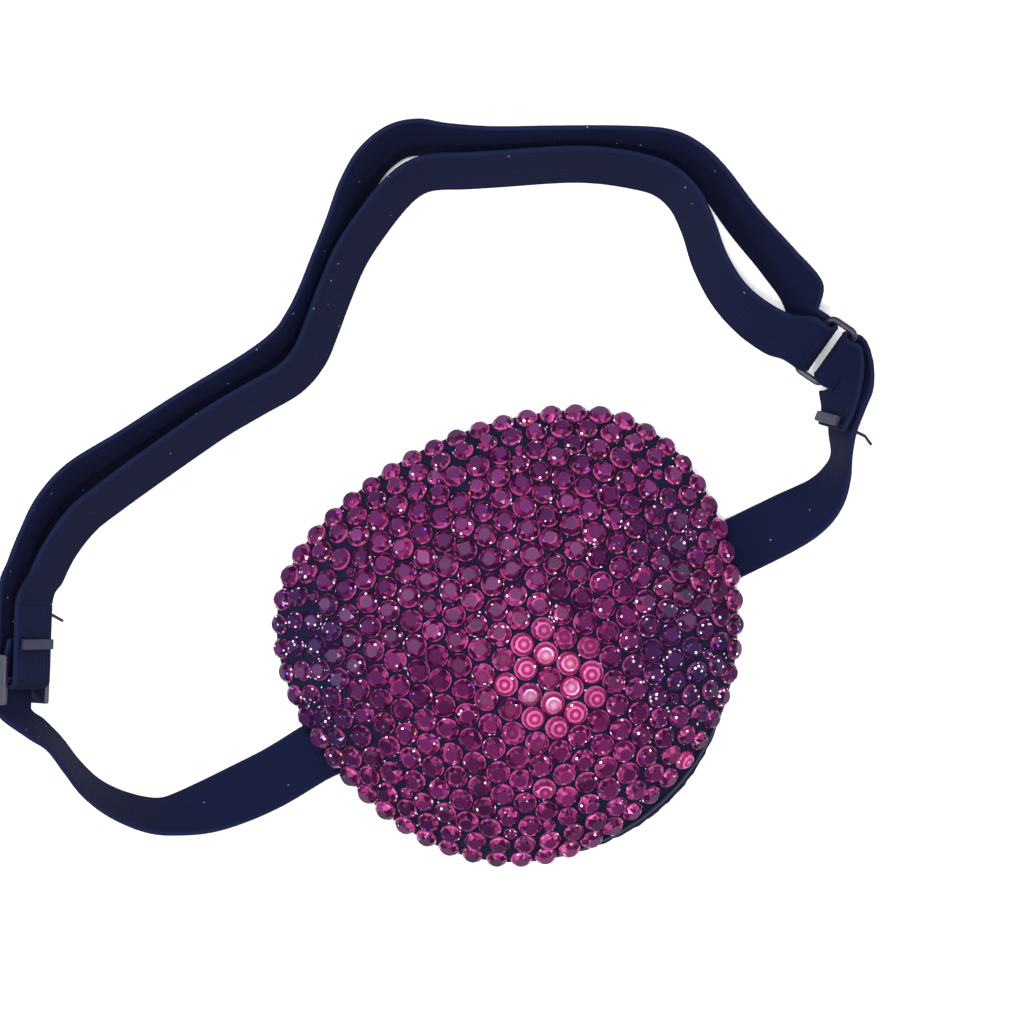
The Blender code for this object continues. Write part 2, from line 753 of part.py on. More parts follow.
def main():
    clear_scene()
    parts = new_collection(collection_name)
    cutters = new_collection("cutters")
    shell = material("moulded_board", (0.03, 0.03, 0.04), 0.7)
    cloth = material("navy_cloth", navy, 0.85)
    foam = material("comfort_foam", (0.05, 0.05, 0.06), 0.9)
    elastic = material("navy_elastic", navy, 0.8)
    thread = material("navy_thread", (0.02, 0.025, 0.07), 0.6)
    crystal = material("fuchsia_crystal", (0.42, 0.03, 0.20), 0.08, 0.6)
    metal = material("dark_metal", (0.03, 0.03, 0.05), 0.3, 0.9)
    layer("moulded_shell", -shell_wall, shell_wall, shell, parts)
    layer("outer_cover", fit_gap, cover_cloth, cloth, parts)
    layer("foam_pad", -(shell_wall + fit_gap + foam_thick), foam_thick, foam, parts,
          edge_share=inner_layer_share)
    lining_lift = -(shell_wall + foam_thick + lining_cloth + 2.0 * fit_gap)
    layer("inner_lining", lining_lift, lining_cloth, cloth, parts, edge_share=inner_layer_share)
    make_crystal_rows(crystal, parts)
    make_crown_crystals(crystal, parts)
    make_edge_binding(cloth, parts, cutters)
    make_rim_stitching(thread, parts)
    make_straps(elastic, thread, parts)
    make_tab(elastic, thread, parts)
    make_ring(metal, parts)
    make_slider(metal, parts, cutters)
    make_loose_threads(thread, parts)


main()
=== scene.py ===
from math import atan2, cos, exp, floor, hypot, pi, radians, sin
import bpy
import bmesh
import numpy as np
from mathutils import Euler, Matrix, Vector


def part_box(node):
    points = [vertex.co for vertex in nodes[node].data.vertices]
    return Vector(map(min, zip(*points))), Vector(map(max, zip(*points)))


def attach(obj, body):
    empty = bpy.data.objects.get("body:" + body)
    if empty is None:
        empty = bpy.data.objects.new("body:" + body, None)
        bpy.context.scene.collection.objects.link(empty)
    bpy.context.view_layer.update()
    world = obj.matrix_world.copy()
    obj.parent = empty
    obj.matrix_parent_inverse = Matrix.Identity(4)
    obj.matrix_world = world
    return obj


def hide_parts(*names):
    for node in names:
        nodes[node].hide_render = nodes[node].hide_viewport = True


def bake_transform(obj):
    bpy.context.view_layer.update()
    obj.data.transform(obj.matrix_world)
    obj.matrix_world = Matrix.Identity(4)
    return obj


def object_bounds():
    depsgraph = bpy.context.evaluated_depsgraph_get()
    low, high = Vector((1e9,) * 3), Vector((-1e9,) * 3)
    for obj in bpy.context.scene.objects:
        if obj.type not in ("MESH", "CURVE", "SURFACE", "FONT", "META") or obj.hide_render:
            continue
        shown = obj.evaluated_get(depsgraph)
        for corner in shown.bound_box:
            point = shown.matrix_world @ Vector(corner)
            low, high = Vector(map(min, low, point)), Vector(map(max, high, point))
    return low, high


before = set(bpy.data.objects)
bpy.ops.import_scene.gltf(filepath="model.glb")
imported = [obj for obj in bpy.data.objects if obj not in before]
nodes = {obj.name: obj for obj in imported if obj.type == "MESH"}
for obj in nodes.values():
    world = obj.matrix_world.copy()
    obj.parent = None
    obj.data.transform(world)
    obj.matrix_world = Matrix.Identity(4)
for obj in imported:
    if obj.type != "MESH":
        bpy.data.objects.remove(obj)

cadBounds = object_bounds()
mm = 0.001


def report(stage):
    print("eye patch:", stage)


# camera, table and lights

cameraSettings = {
    "lookAt": (7.8, 20.5, 4.0),   # mm
    "distance": 750.0,
    "fieldWidth": 163.2,
    "turn": -26.0,                # degrees about the upright axis
}


def makeCamera():
    lens = bpy.data.cameras.new("overheadCamera")
    lens.type = "PERSP"
    lens.sensor_width = 36.0
    lens.lens = lens.sensor_width * cameraSettings["distance"] / cameraSettings["fieldWidth"]
    lens.clip_start = 0.01
    camera = bpy.data.objects.new("overheadCamera", lens)
    bpy.context.scene.collection.objects.link(camera)
    x, y, z = cameraSettings["lookAt"]
    camera.location = (x * mm, y * mm, (z + cameraSettings["distance"]) * mm)
    camera.rotation_euler = (0.0, 0.0, radians(cameraSettings["turn"]))
    bpy.context.scene.camera = camera


lightSettings = {
    # name: place, size, power in watts, colour
    "ceilingBox": ((-0.10, 0.35, 1.10), 0.90, 13.0, (1.0, 0.99, 0.98)),
    "windowBox": ((-0.95, 0.30, 0.75), 0.70, 8.0, (0.95, 0.97, 1.0)),
    "fillBox": ((0.95, -0.35, 0.70), 0.70, 6.0, (1.0, 0.97, 0.98)),
    "stoneLight": ((0.012, -0.175, 0.62), 0.11, 2.6, (1.0, 0.93, 0.96)),
}
worldSettings = {"colour": (0.93, 0.95, 1.0), "strength": 0.62}
floorSettings = {"size": 6.0, "colour": (0.93, 0.93, 0.94)}


def makeLights():
    for name, (place, size, power, colour) in lightSettings.items():
        lamp = bpy.data.lights.new(name, "AREA")
        lamp.shape = "DISK"
        lamp.size = size
        lamp.energy = power
        lamp.color = colour
        made = bpy.data.objects.new(name, lamp)
        bpy.context.scene.collection.objects.link(made)
        made.location = place
        aim = Vector((0.0, 0.01, 0.0)) - Vector(place)
        made.rotation_euler = aim.to_track_quat("-Z", "Y").to_euler()
    world = bpy.data.worlds.new("studio")
    bpy.context.scene.world = world
    world.use_nodes = True
    background = world.node_tree.nodes["Background"]
    background.inputs["Color"].default_value = (*worldSettings["colour"], 1.0)
    background.inputs["Strength"].default_value = worldSettings["strength"]
    bpy.context.scene.view_settings.view_transform = "Standard"


def makeFloor():
    shape = bmesh.new()
    bmesh.ops.create_grid(shape, x_segments=1, y_segments=1, size=floorSettings["size"] / 2.0)
    mesh = bpy.data.meshes.new("tableTop")
    shape.to_mesh(mesh)
    shape.free()
    table = bpy.data.objects.new("tableTop", mesh)
    bpy.context.scene.collection.objects.link(table)
    table.location.z = cadBounds[0].z - 0.05 * mm
    paint = bpy.data.materials.new("tablePaint")
    paint.use_nodes = True
    shader = paint.node_tree.nodes["Principled BSDF"]
    shader.inputs["Base Color"].default_value = (*floorSettings["colour"], 1.0)
    shader.inputs["Roughness"].default_value = 0.9
    shader.inputs["Specular IOR Level"].default_value = 0.1
    mesh.materials.append(paint)


makeCamera()
makeLights()
makeFloor()
report("camera, lights and table")


# node helpers


def put(tree, kind, sockets=None, **settings):
    # adds a node; a socket given as a value is set, and one given as an output is linked
    made = tree.nodes.new(kind)
    for name, value in settings.items():
        setattr(made, name, value)
    for name, value in (sockets or {}).items():
        if isinstance(value, bpy.types.NodeSocket):
            tree.links.new(value, made.inputs[name])
        else:
            made.inputs[name].default_value = value
    return made


def maths(tree, operation, *values, clamp=False):
    made = put(tree, "ShaderNodeMath", dict(enumerate(values)), operation=operation, use_clamp=clamp)
    return made.outputs[0]


def vectorMaths(tree, operation, *values):
    made = put(tree, "ShaderNodeVectorMath", dict(enumerate(values)), operation=operation)
    return (made.outputs["Value"] if operation in ("LENGTH", "DISTANCE", "DOT_PRODUCT")
            else made.outputs["Vector"])


def remap(tree, value, low, high, outLow=0.0, outHigh=1.0, smooth=True):
    kind = "SMOOTHSTEP" if smooth else "LINEAR"
    made = put(tree, "ShaderNodeMapRange", {0: value, 1: low, 2: high, 3: outLow, 4: outHigh},
               interpolation_type=kind)
    return made.outputs[0]


def mixColour(tree, amount, first, second, blend="MIX"):
    made = put(tree, "ShaderNodeMix", data_type="RGBA", blend_type=blend)
    for index, value in ((0, amount), (6, first), (7, second)):
        if isinstance(value, bpy.types.NodeSocket):
            tree.links.new(value, made.inputs[index])
        elif index:
            made.inputs[index].default_value = (*value, 1.0)
        else:
            made.inputs[index].default_value = value
    return made.outputs[2]


def ramp(tree, value, stops, constant=False):
    made = put(tree, "ShaderNodeValToRGB", {0: value})
    made.color_ramp.interpolation = "CONSTANT" if constant else "LINEAR"
    while len(made.color_ramp.elements) < len(stops):
        made.color_ramp.elements.new(0.5)
    for element, (place, colour) in zip(made.color_ramp.elements, stops):
        element.position = place
        element.color = (*colour, 1.0)
    return made.outputs[0]


def attribute(tree, name, output="Fac"):
    return put(tree, "ShaderNodeAttribute", attribute_name=name).outputs[output]


def objectPlace(tree, scale=(1.0, 1.0, 1.0)):
    place = put(tree, "ShaderNodeTexCoord").outputs["Object"]
    return put(tree, "ShaderNodeMapping", {"Vector": place, "Scale": scale}).outputs[0]


def newGroup(name, inputs, outputs):
    group = bpy.data.node_groups.new(name, "ShaderNodeTree")
    for label, kind, value in inputs:
        socket = group.interface.new_socket(name=label, in_out="INPUT", socket_type=kind)
        if value is not None:
            socket.default_value = value
    for label, kind in outputs:
        group.interface.new_socket(name=label, in_out="OUTPUT", socket_type=kind)
    return group, group.nodes.new("NodeGroupInput").outputs, group.nodes.new("NodeGroupOutput").inputs


def useGroup(tree, group, **values):
    made = put(tree, "ShaderNodeGroup", node_tree=group)
    for name, value in values.items():
        if isinstance(value, bpy.types.NodeSocket):
            tree.links.new(value, made.inputs[name])
        else:
            made.inputs[name].default_value = value
    return made.outputs


def makeWeaveGroup():
    # crossed threads: a height for bump and a light and dark tone; the tone follows the height, darker in the
    # weave's hollows as painted shade
    group, given, result = newGroup("fabricWeave", [
        ("Place", "NodeSocketVector", None),
        ("Pitch", "NodeSocketFloat", 0.0004),
        ("Wander", "NodeSocketFloat", 0.3),
    ], [("Height", "NodeSocketFloat"), ("Tone", "NodeSocketFloat")])
    turns = maths(group, "DIVIDE", 2.0 * pi, given["Pitch"])
    noise = put(group, "ShaderNodeTexNoise", {"Vector": given["Place"], "Scale": 420.0, "Detail": 2.0})
    drift = maths(group, "MULTIPLY", maths(group, "SUBTRACT", noise.outputs[0], 0.5),
                  maths(group, "MULTIPLY", given["Wander"], 8.0))
    axes = put(group, "ShaderNodeSeparateXYZ", {0: given["Place"]}).outputs
    warp = maths(group, "SINE", maths(group, "ADD", maths(group, "MULTIPLY", axes[0], turns), drift))
    weft = maths(group, "SINE", maths(group, "ADD", maths(group, "MULTIPLY", axes[1], turns), drift))
    over = maths(group, "MULTIPLY", warp, weft)
    group.links.new(remap(group, over, -1.0, 1.0), result["Height"])
    group.links.new(remap(group, over, -1.0, 1.0, 0.75, 1.2), result["Tone"])
    return group


def makeRibGroup():
    # knitted elastic: lengthwise ribs crossed by slanting picks. Place is (across 0 to 1, along in metres).
    # The tone follows the height, darker in the grooves as painted shade
    group, given, result = newGroup("elasticRib", [
        ("Place", "NodeSocketVector", None),
        ("Ribs", "NodeSocketFloat", 11.0),
        ("Pick", "NodeSocketFloat", 0.0007),
    ], [("Height", "NodeSocketFloat"), ("Tone", "NodeSocketFloat")])
    axes = put(group, "ShaderNodeSeparateXYZ", {0: given["Place"]}).outputs
    noise = put(group, "ShaderNodeTexNoise", {"Vector": given["Place"], "Scale": 160.0, "Detail": 2.0})
    drift = maths(group, "MULTIPLY", maths(group, "SUBTRACT", noise.outputs[0], 0.5), 2.5)
    ribTurn = maths(group, "MULTIPLY", maths(group, "MULTIPLY", axes[0], given["Ribs"]), 2.0 * pi)
    rib = maths(group, "SINE", ribTurn)
    slant = maths(group, "MULTIPLY", maths(group, "ABSOLUTE", rib), 1.6)
    pickTurn = maths(group, "MULTIPLY", maths(group, "DIVIDE", axes[1], given["Pick"]), 2.0 * pi)
    pick = maths(group, "SINE", maths(group, "ADD", maths(group, "ADD", pickTurn, slant), drift))
    both = maths(group, "ADD", maths(group, "MULTIPLY", rib, 0.55), maths(group, "MULTIPLY", pick, 0.45))
    group.links.new(remap(group, both, -1.0, 1.0), result["Height"])
    group.links.new(remap(group, both, -1.0, 1.0, 0.7, 1.25), result["Tone"])
    return group


def makeDriftGroup():
    # slow change of tone over a piece
    group, given, result = newGroup("toneDrift", [
        ("Place", "NodeSocketVector", None),
        ("Size", "NodeSocketFloat", 0.012),
        ("Amount", "NodeSocketFloat", 0.2),
    ], [("Tone", "NodeSocketFloat")])
    scale = maths(group, "DIVIDE", 1.0, given["Size"])
    noise = put(group, "ShaderNodeTexNoise", {"Vector": given["Place"], "Scale": scale, "Detail": 3.0})
    swing = maths(group, "MULTIPLY", maths(group, "SUBTRACT", noise.outputs[0], 0.5), 2.0)
    tone = maths(group, "ADD", 1.0, maths(group, "MULTIPLY", swing, given["Amount"]))
    group.links.new(tone, result["Tone"])
    return group


def makeSpeckGroup():
    # small pale specks: painted glints of sparkle on the cloth
    group, given, result = newGroup("lintSpecks", [
        ("Place", "NodeSocketVector", None),
        ("Spacing", "NodeSocketFloat", 0.0008),
        ("Share", "NodeSocketFloat", 0.1),
        ("Size", "NodeSocketFloat", 0.18),
    ], [("Mask", "NodeSocketFloat")])
    scale = maths(group, "DIVIDE", 1.0, given["Spacing"])
    cells = put(group, "ShaderNodeTexVoronoi", {"Vector": given["Place"], "Scale": scale})
    draw = put(group, "ShaderNodeSeparateColor", {0: cells.outputs["Color"]}).outputs[0]
    chosen = maths(group, "LESS_THAN", draw, given["Share"])
    near = maths(group, "LESS_THAN", cells.outputs["Distance"], given["Size"])
    group.links.new(maths(group, "MULTIPLY", chosen, near), result["Mask"])
    return group


weaveGroup = makeWeaveGroup()
ribGroup = makeRibGroup()
driftGroup = makeDriftGroup()
speckGroup = makeSpeckGroup()


def newMaterial(name):
    made = bpy.data.materials.new(name)
    made.use_nodes = True
    tree = made.node_tree
    return made, tree, tree.nodes["Principled BSDF"]


def scaleColour(tree, colour, factor):
    return vectorMaths(tree, "MULTIPLY", colour, put(
        tree, "ShaderNodeCombineXYZ", {0: factor, 1: factor, 2: factor}).outputs[0])


def addBump(tree, shader, height, depth, strength=1.0):
    bump = put(tree, "ShaderNodeBump", {"Height": height, "Distance": depth, "Strength": strength})
    tree.links.new(bump.outputs[0], shader.inputs["Normal"])


def makeElastic():
    made, tree, shader = newMaterial("navyElastic")
    place = put(tree, "ShaderNodeUVMap", uv_map="strapPlace").outputs[0]
    ribs = useGroup(tree, ribGroup, Place=place, Ribs=11.0, Pick=0.00075)
    drift = useGroup(tree, driftGroup, Place=objectPlace(tree), Size=0.016, Amount=0.30)["Tone"]
    across = put(tree, "ShaderNodeSeparateXYZ", {0: place}).outputs[0]
    edge = remap(tree, maths(tree, "ABSOLUTE", maths(tree, "SUBTRACT", across, 0.5)), 0.44, 0.49)
    base = mixColour(tree, edge, (0.0022, 0.0038, 0.0185), (0.0045, 0.0070, 0.0270))
    # rib tone: faint painted shade in the grooves
    faint = maths(tree, "ADD", 0.80, maths(tree, "MULTIPLY", ribs["Tone"], 0.20))
    toned = scaleColour(tree, base, maths(tree, "MULTIPLY", faint, drift))
    # pale specks on the elastic: painted glints
    specks = useGroup(tree, speckGroup, Place=objectPlace(tree), Spacing=0.0011, Share=0.05,
                      Size=0.14)["Mask"]
    speckled = mixColour(tree, maths(tree, "MULTIPLY", specks, 0.35), toned, (0.30, 0.34, 0.50))
    tree.links.new(speckled, shader.inputs["Base Color"])
    tree.links.new(remap(tree, ribs["Height"], 0.0, 1.0, 0.92, 0.88), shader.inputs["Roughness"])
    shader.inputs["Specular IOR Level"].default_value = 0.08
    shader.inputs["Sheen Weight"].default_value = 0.008
    shader.inputs["Sheen Roughness"].default_value = 0.4
    shader.inputs["Sheen Tint"].default_value = (0.45, 0.52, 0.9, 1.0)
    addBump(tree, shader, ribs["Height"], 0.00003, 0.25)
    return made


def makeCloth(name, colour, pitch, speckShare, depth=0.00008):
    made, tree, shader = newMaterial(name)
    place = objectPlace(tree)
    weave = useGroup(tree, weaveGroup, Place=place, Pitch=pitch, Wander=0.25)
    drift = useGroup(tree, driftGroup, Place=place, Size=0.009, Amount=0.35)["Tone"]
    base = put(tree, "ShaderNodeRGB")
    base.outputs[0].default_value = (*colour, 1.0)
    # weave tone: painted shade in the weave's hollows
    toned = scaleColour(tree, base.outputs[0], maths(tree, "MULTIPLY", weave["Tone"], drift))
    # pale specks on the cloth: painted glints
    specks = useGroup(tree, speckGroup, Place=place, Spacing=0.0008, Share=speckShare, Size=0.22)["Mask"]
    speckled = mixColour(tree, maths(tree, "MULTIPLY", specks, 0.8), toned, (0.55, 0.58, 0.75))
    tree.links.new(speckled, shader.inputs["Base Color"])
    tree.links.new(remap(tree, weave["Height"], 0.0, 1.0, 0.95, 0.8), shader.inputs["Roughness"])
    shader.inputs["Specular IOR Level"].default_value = 0.05
    shader.inputs["Sheen Weight"].default_value = 0.004
    addBump(tree, shader, weave["Height"], depth, 0.8)
    return made


def makeThread():
    made, tree, shader = newMaterial("navyThread")
    place = objectPlace(tree)
    weave = useGroup(tree, weaveGroup, Place=place, Pitch=0.00018, Wander=0.5)
    base = put(tree, "ShaderNodeRGB")
    base.outputs[0].default_value = (0.006, 0.009, 0.032, 1.0)
    # weave tone: painted shade in the thread's hollows
    tree.links.new(scaleColour(tree, base.outputs[0], weave["Tone"]), shader.inputs["Base Color"])
    shader.inputs["Roughness"].default_value = 0.6
    shader.inputs["Specular IOR Level"].default_value = 0.3
    addBump(tree, shader, weave["Height"], 0.00004)
    return made


def makeFoam():
    made, tree, shader = newMaterial("comfortFoam")
    cells = put(tree, "ShaderNodeTexVoronoi", {"Vector": objectPlace(tree), "Scale": 2600.0})
    # foam cells darker in their pits, where the bump sinks: painted shade
    tone = ramp(tree, cells.outputs["Distance"], [(0.0, (0.018, 0.018, 0.022)), (0.7, (0.06, 0.06, 0.07))])
    tree.links.new(tone, shader.inputs["Base Color"])
    shader.inputs["Roughness"].default_value = 0.95
    addBump(tree, shader, cells.outputs["Distance"], 0.00015)
    return made


def makeBoard():
    made, tree, shader = newMaterial("mouldedBoard")
    noise = put(tree, "ShaderNodeTexNoise", {"Vector": objectPlace(tree), "Scale": 1500.0, "Detail": 4.0})
    tone = ramp(tree, noise.outputs[0], [(0.3, (0.012, 0.012, 0.016)), (0.7, (0.03, 0.03, 0.036))])
    tree.links.new(tone, shader.inputs["Base Color"])
    shader.inputs["Roughness"].default_value = 0.75
    addBump(tree, shader, noise.outputs[0], 0.00005)
    return made


def makeDarkMetal():
    made, tree, shader = newMaterial("darkEnamel")
    place = objectPlace(tree)
    scuffs = put(tree, "ShaderNodeTexNoise", {"Vector": place, "Scale": 900.0, "Detail": 5.0})
    worn = remap(tree, scuffs.outputs[0], 0.60, 0.72)
    drift = useGroup(tree, driftGroup, Place=place, Size=0.003, Amount=0.4)["Tone"]
    base = mixColour(tree, worn, (0.004, 0.005, 0.018), (0.03, 0.034, 0.06))
    tree.links.new(scaleColour(tree, base, drift), shader.inputs["Base Color"])
    tree.links.new(remap(tree, worn, 0.0, 1.0, 0.42, 0.6), shader.inputs["Roughness"])
    tree.links.new(maths(tree, "MULTIPLY", worn, 0.3), shader.inputs["Metallic"])
    shader.inputs["Specular IOR Level"].default_value = 0.4
    addBump(tree, shader, scuffs.outputs[0], 0.00003)
    return made


stoneColours = {
    "facets": [
        (0.00, (0.018, 0.004, 0.018)), (0.30, (0.052, 0.007, 0.038)), (0.52, (0.125, 0.014, 0.066)),
        (0.72, (0.260, 0.034, 0.130)), (0.88, (0.460, 0.100, 0.260)), (1.00, (0.850, 0.480, 0.640)),
    ],
    # dark tables: deep glass colour with painted reflection of the dark backing
    "tables": [(0.0, (0.018, 0.004, 0.022)), (0.5, (0.038, 0.007, 0.038)), (1.0, (0.085, 0.013, 0.065))],
    # paler tables for painted light toward the upper edge of the patch
    "paintedSideLightTables": [(0.0, (0.045, 0.011, 0.050)), (0.5, (0.080, 0.020, 0.078)), (1.0, (0.150, 0.042, 0.120))],
    # painted reflection: concentric pink rings for the stones under the painted flash
    "paintedFlashRings": [
        (0.00, (0.720, 0.260, 0.400)), (0.14, (0.480, 0.110, 0.240)), (0.27, (0.250, 0.020, 0.090)),
        (0.45, (0.170, 0.010, 0.060)), (0.56, (0.520, 0.140, 0.270)), (0.64, (0.560, 0.170, 0.310)),
        (0.74, (0.230, 0.014, 0.080)), (0.90, (0.300, 0.026, 0.110)), (0.97, (0.500, 0.150, 0.280)),
    ],
    # navy for stones in painted shade
    "paintedShadeZone": (0.016, 0.012, 0.048),
    # colours of painted glints
    "paintedGlintPale": (1.0, 0.78, 0.92),
    "paintedGlintCool": (0.72, 0.66, 0.95),
    "paintedGlintViolet": (0.36, 0.06, 0.85),
    "paintedGlintOrange": (0.90, 0.28, 0.12),
    # pink of the painted highlight ring at the girdle
    "rim": (0.55, 0.12, 0.30),
    "depth": (0.80, 0.60, 0.82),
}


def makeStoneMaterial():
    # foil-backed stones: a dark table with painted reflection, coloured crown facets, a painted highlight
    # ring at the girdle and small painted glints, plus painted glow and painted shade by place on the patch
    made, tree, shader = newMaterial("fuchsiaStone")
    place = attribute(tree, "gemPlace", "Vector")
    tone = attribute(tree, "gemTone")
    # painted glow: stones brighter and pinker by their place on the patch, as if lit by the flash
    paintedGlow = attribute(tree, "gemGlow")
    # painted shade: stones on the dome's flanks darker and navier
    paintedShadeZone = attribute(tree, "gemCool")
    # painted light: tables paler toward the upper edge (+y) of the patch
    paintedSideLight = attribute(tree, "gemDusk")
    facet = attribute(tree, "facetTone")
    angle = maths(tree, "MULTIPLY", tone, 61.0)
    shift = put(tree, "ShaderNodeCombineXYZ", {
        0: maths(tree, "MULTIPLY", maths(tree, "SINE", angle), 0.12),
        1: maths(tree, "MULTIPLY", maths(tree, "COSINE", angle), 0.12),
    }).outputs[0]
    flat = vectorMaths(tree, "MULTIPLY", place, (1.0, 1.0, 0.0))
    radius = vectorMaths(tree, "LENGTH", flat)
    offCentre = vectorMaths(tree, "LENGTH", vectorMaths(tree, "SUBTRACT", flat, shift))
    tableMask = remap(tree, offCentre, 0.50, 0.58, 1.0, 0.0)
    # facet colour: random per facet, raised by the painted glow
    facetMix = maths(tree, "ADD", maths(tree, "MULTIPLY", facet, 0.74), maths(tree, "MULTIPLY", paintedGlow, 0.22))
    facetMix = maths(tree, "ADD", facetMix, maths(tree, "MULTIPLY", maths(tree, "SUBTRACT", tone, 0.5), 0.18))
    # facets dimmed in the painted shade zones
    facetMix = maths(tree, "SUBTRACT", facetMix, maths(tree, "MULTIPLY", paintedShadeZone, 0.22), clamp=True)
    crown = ramp(tree, facetMix, stoneColours["facets"])
    table = mixColour(tree, paintedSideLight, ramp(tree, tone, stoneColours["tables"]),
                      ramp(tree, tone, stoneColours["paintedSideLightTables"]))
    # tables tinted pink by the painted glow
    table = mixColour(tree, maths(tree, "MULTIPLY", paintedGlow, 0.55, clamp=True), table, (0.190, 0.014, 0.070))
    stone = mixColour(tree, tableMask, crown, table)
    # painted highlight: a pale pink ring near the girdle
    paintedRimHighlight = maths(tree, "MULTIPLY", remap(tree, radius, 0.86, 0.93),
                    remap(tree, facet, 0.25, 0.6, 0.1, 0.75))
    stone = mixColour(tree, paintedRimHighlight, stone, stoneColours["rim"])
    # painted flash: concentric painted reflection rings on the most glowing stones
    paintedFlash = maths(tree, "MULTIPLY", remap(tree, paintedGlow, 0.50, 0.78), remap(tree, tone, 0.15, 0.45))
    stone = mixColour(tree, paintedFlash, stone, ramp(tree, offCentre, stoneColours["paintedFlashRings"]))
    # stones in the painted shade zones darkened toward navy
    paintedShadeZoneBase = mixColour(tree, 0.72, stone, stoneColours["paintedShadeZone"])
    stone = mixColour(tree, paintedShadeZone, stone, paintedShadeZoneBase)
    stone = vectorMaths(tree, "MULTIPLY", stone, stoneColours["depth"])
    # painted glints: small bright specks on the facets, more of them in the painted shade zones
    cellPlace = vectorMaths(tree, "ADD", vectorMaths(tree, "SCALE", place), put(
        tree, "ShaderNodeCombineXYZ", {0: angle, 1: maths(tree, "MULTIPLY", tone, 37.0), 2: 0.0}).outputs[0])
    cells = put(tree, "ShaderNodeTexVoronoi", {"Vector": cellPlace, "Scale": 2.7})
    draw = put(tree, "ShaderNodeSeparateColor", {0: cells.outputs["Color"]}).outputs
    limit = maths(tree, "ADD", 0.90, maths(tree, "MULTIPLY", paintedShadeZone, -0.16))
    paintedGlint = maths(tree, "MULTIPLY", maths(tree, "GREATER_THAN", draw[0], limit),
                  maths(tree, "LESS_THAN", cells.outputs["Distance"], 0.34))
    offTable = maths(tree, "MAXIMUM", maths(tree, "SUBTRACT", 1.0, tableMask),
                     maths(tree, "MULTIPLY", paintedShadeZone, 0.8))
    paintedGlint = maths(tree, "MULTIPLY", paintedGlint, offTable)
    paintedGlintColour = mixColour(tree, paintedShadeZone, stoneColours["paintedGlintPale"], stoneColours["paintedGlintCool"])
    rare = maths(tree, "GREATER_THAN", draw[1], 0.88)
    paintedGlintColour = mixColour(tree, rare, paintedGlintColour, stoneColours["paintedGlintViolet"])
    rarest = maths(tree, "LESS_THAN", draw[1], 0.06)
    paintedGlintColour = mixColour(tree, rarest, paintedGlintColour, stoneColours["paintedGlintOrange"])
    stone = mixColour(tree, paintedGlint, stone, paintedGlintColour)
    tree.links.new(stone, shader.inputs["Base Color"])
    tree.links.new(remap(tree, tableMask, 0.0, 1.0, 0.10, 0.16), shader.inputs["Roughness"])
    tree.links.new(maths(tree, "MULTIPLY", maths(tree, "SUBTRACT", 1.0, tableMask), 0.22),
                   shader.inputs["Metallic"])
    shader.inputs["Specular IOR Level"].default_value = 0.08
    return made


elastic = makeElastic()
coverCloth = makeCloth("coverCloth", (0.0060, 0.0070, 0.0230), 0.00042, 0.16)
bindingCloth = makeCloth("bindingCloth", (0.0065, 0.0080, 0.0260), 0.00036, 0.10)
liningCloth = makeCloth("liningCloth", (0.0085, 0.0095, 0.0240), 0.00060, 0.02, 0.00012)
thread = makeThread()
foamStuff = makeFoam()
board = makeBoard()
darkMetal = makeDarkMetal()
stoneStuff = makeStoneMaterial()
report("materials")


# mesh helpers


def meshObject(name, vertices, faces, finish, smooth=True, sharpAngle=40.0):
    mesh = bpy.data.meshes.new(name)
    mesh.from_pydata([tuple(vertex) for vertex in vertices], [], faces)
    mesh.validate()
    made = bpy.data.objects.new(name, mesh)
    bpy.context.scene.collection.objects.link(made)
    mesh.materials.append(finish)
    if smooth:
        mesh.shade_smooth()
        mesh.set_sharp_from_angle(angle=radians(sharpAngle))
    return made


def applyModifiers(made):
    # turns the evaluated object into a plain mesh and drops its modifiers
    graph = bpy.context.evaluated_depsgraph_get()
    mesh = bpy.data.meshes.new_from_object(made.evaluated_get(graph))
    made.modifiers.clear()
    made.data = mesh
    mesh.name = made.name
    return made


# elastic straps: the same routes as the frame's straps, x and y in mm and the lean of the width in degrees

strapSettings = {
    "width": 9.5 * mm,
    "thickness": 0.9 * mm,
    "step": 0.8 * mm,
    "ribs": 11,
    "ribHeight": 0.035 * mm,
    "selvedge": 0.06 * mm,
    "floorGap": 0.2 * mm,
    "gap": 0.3 * mm,
}
leftRoute = [
    (-46.4, -2.3, 5), (-55.8, -1.9, 28), (-62.0, -0.6, 50), (-65.7, 1.1, 60), (-69.6, 4.9, 68),
    (-72.2, 9.1, 75), (-73.5, 13.6, 80), (-74.4, 18.0, 80), (-76.0, 21.5, 74),
]
outerRoute = [
    (-66.2, 45.8, 62), (-62.8, 48.9, 62), (-58.2, 52.4, 61), (-52.2, 54.7, 59), (-42.7, 55.6, 58),
    (-31.7, 56.9, 58), (-19.6, 58.0, 58), (-13.2, 59.3, 58), (-9.4, 61.3, 58), (-5.8, 64.0, 58),
    (-1.5, 67.9, 58), (3.2, 72.2, 58), (7.6, 76.5, 58), (12.0, 79.5, 58), (16.6, 80.6, 58),
    (20.4, 79.7, 58), (24.1, 77.1, 58), (30.5, 73.4, 58), (40.0, 68.9, 58), (49.0, 64.5, 58),
    (55.1, 61.0, 58), (57.9, 57.8, 59), (59.7, 53.1, 59), (61.3, 44.6, 57), (63.4, 36.6, 53),
    (64.7, 29.9, 45),
]
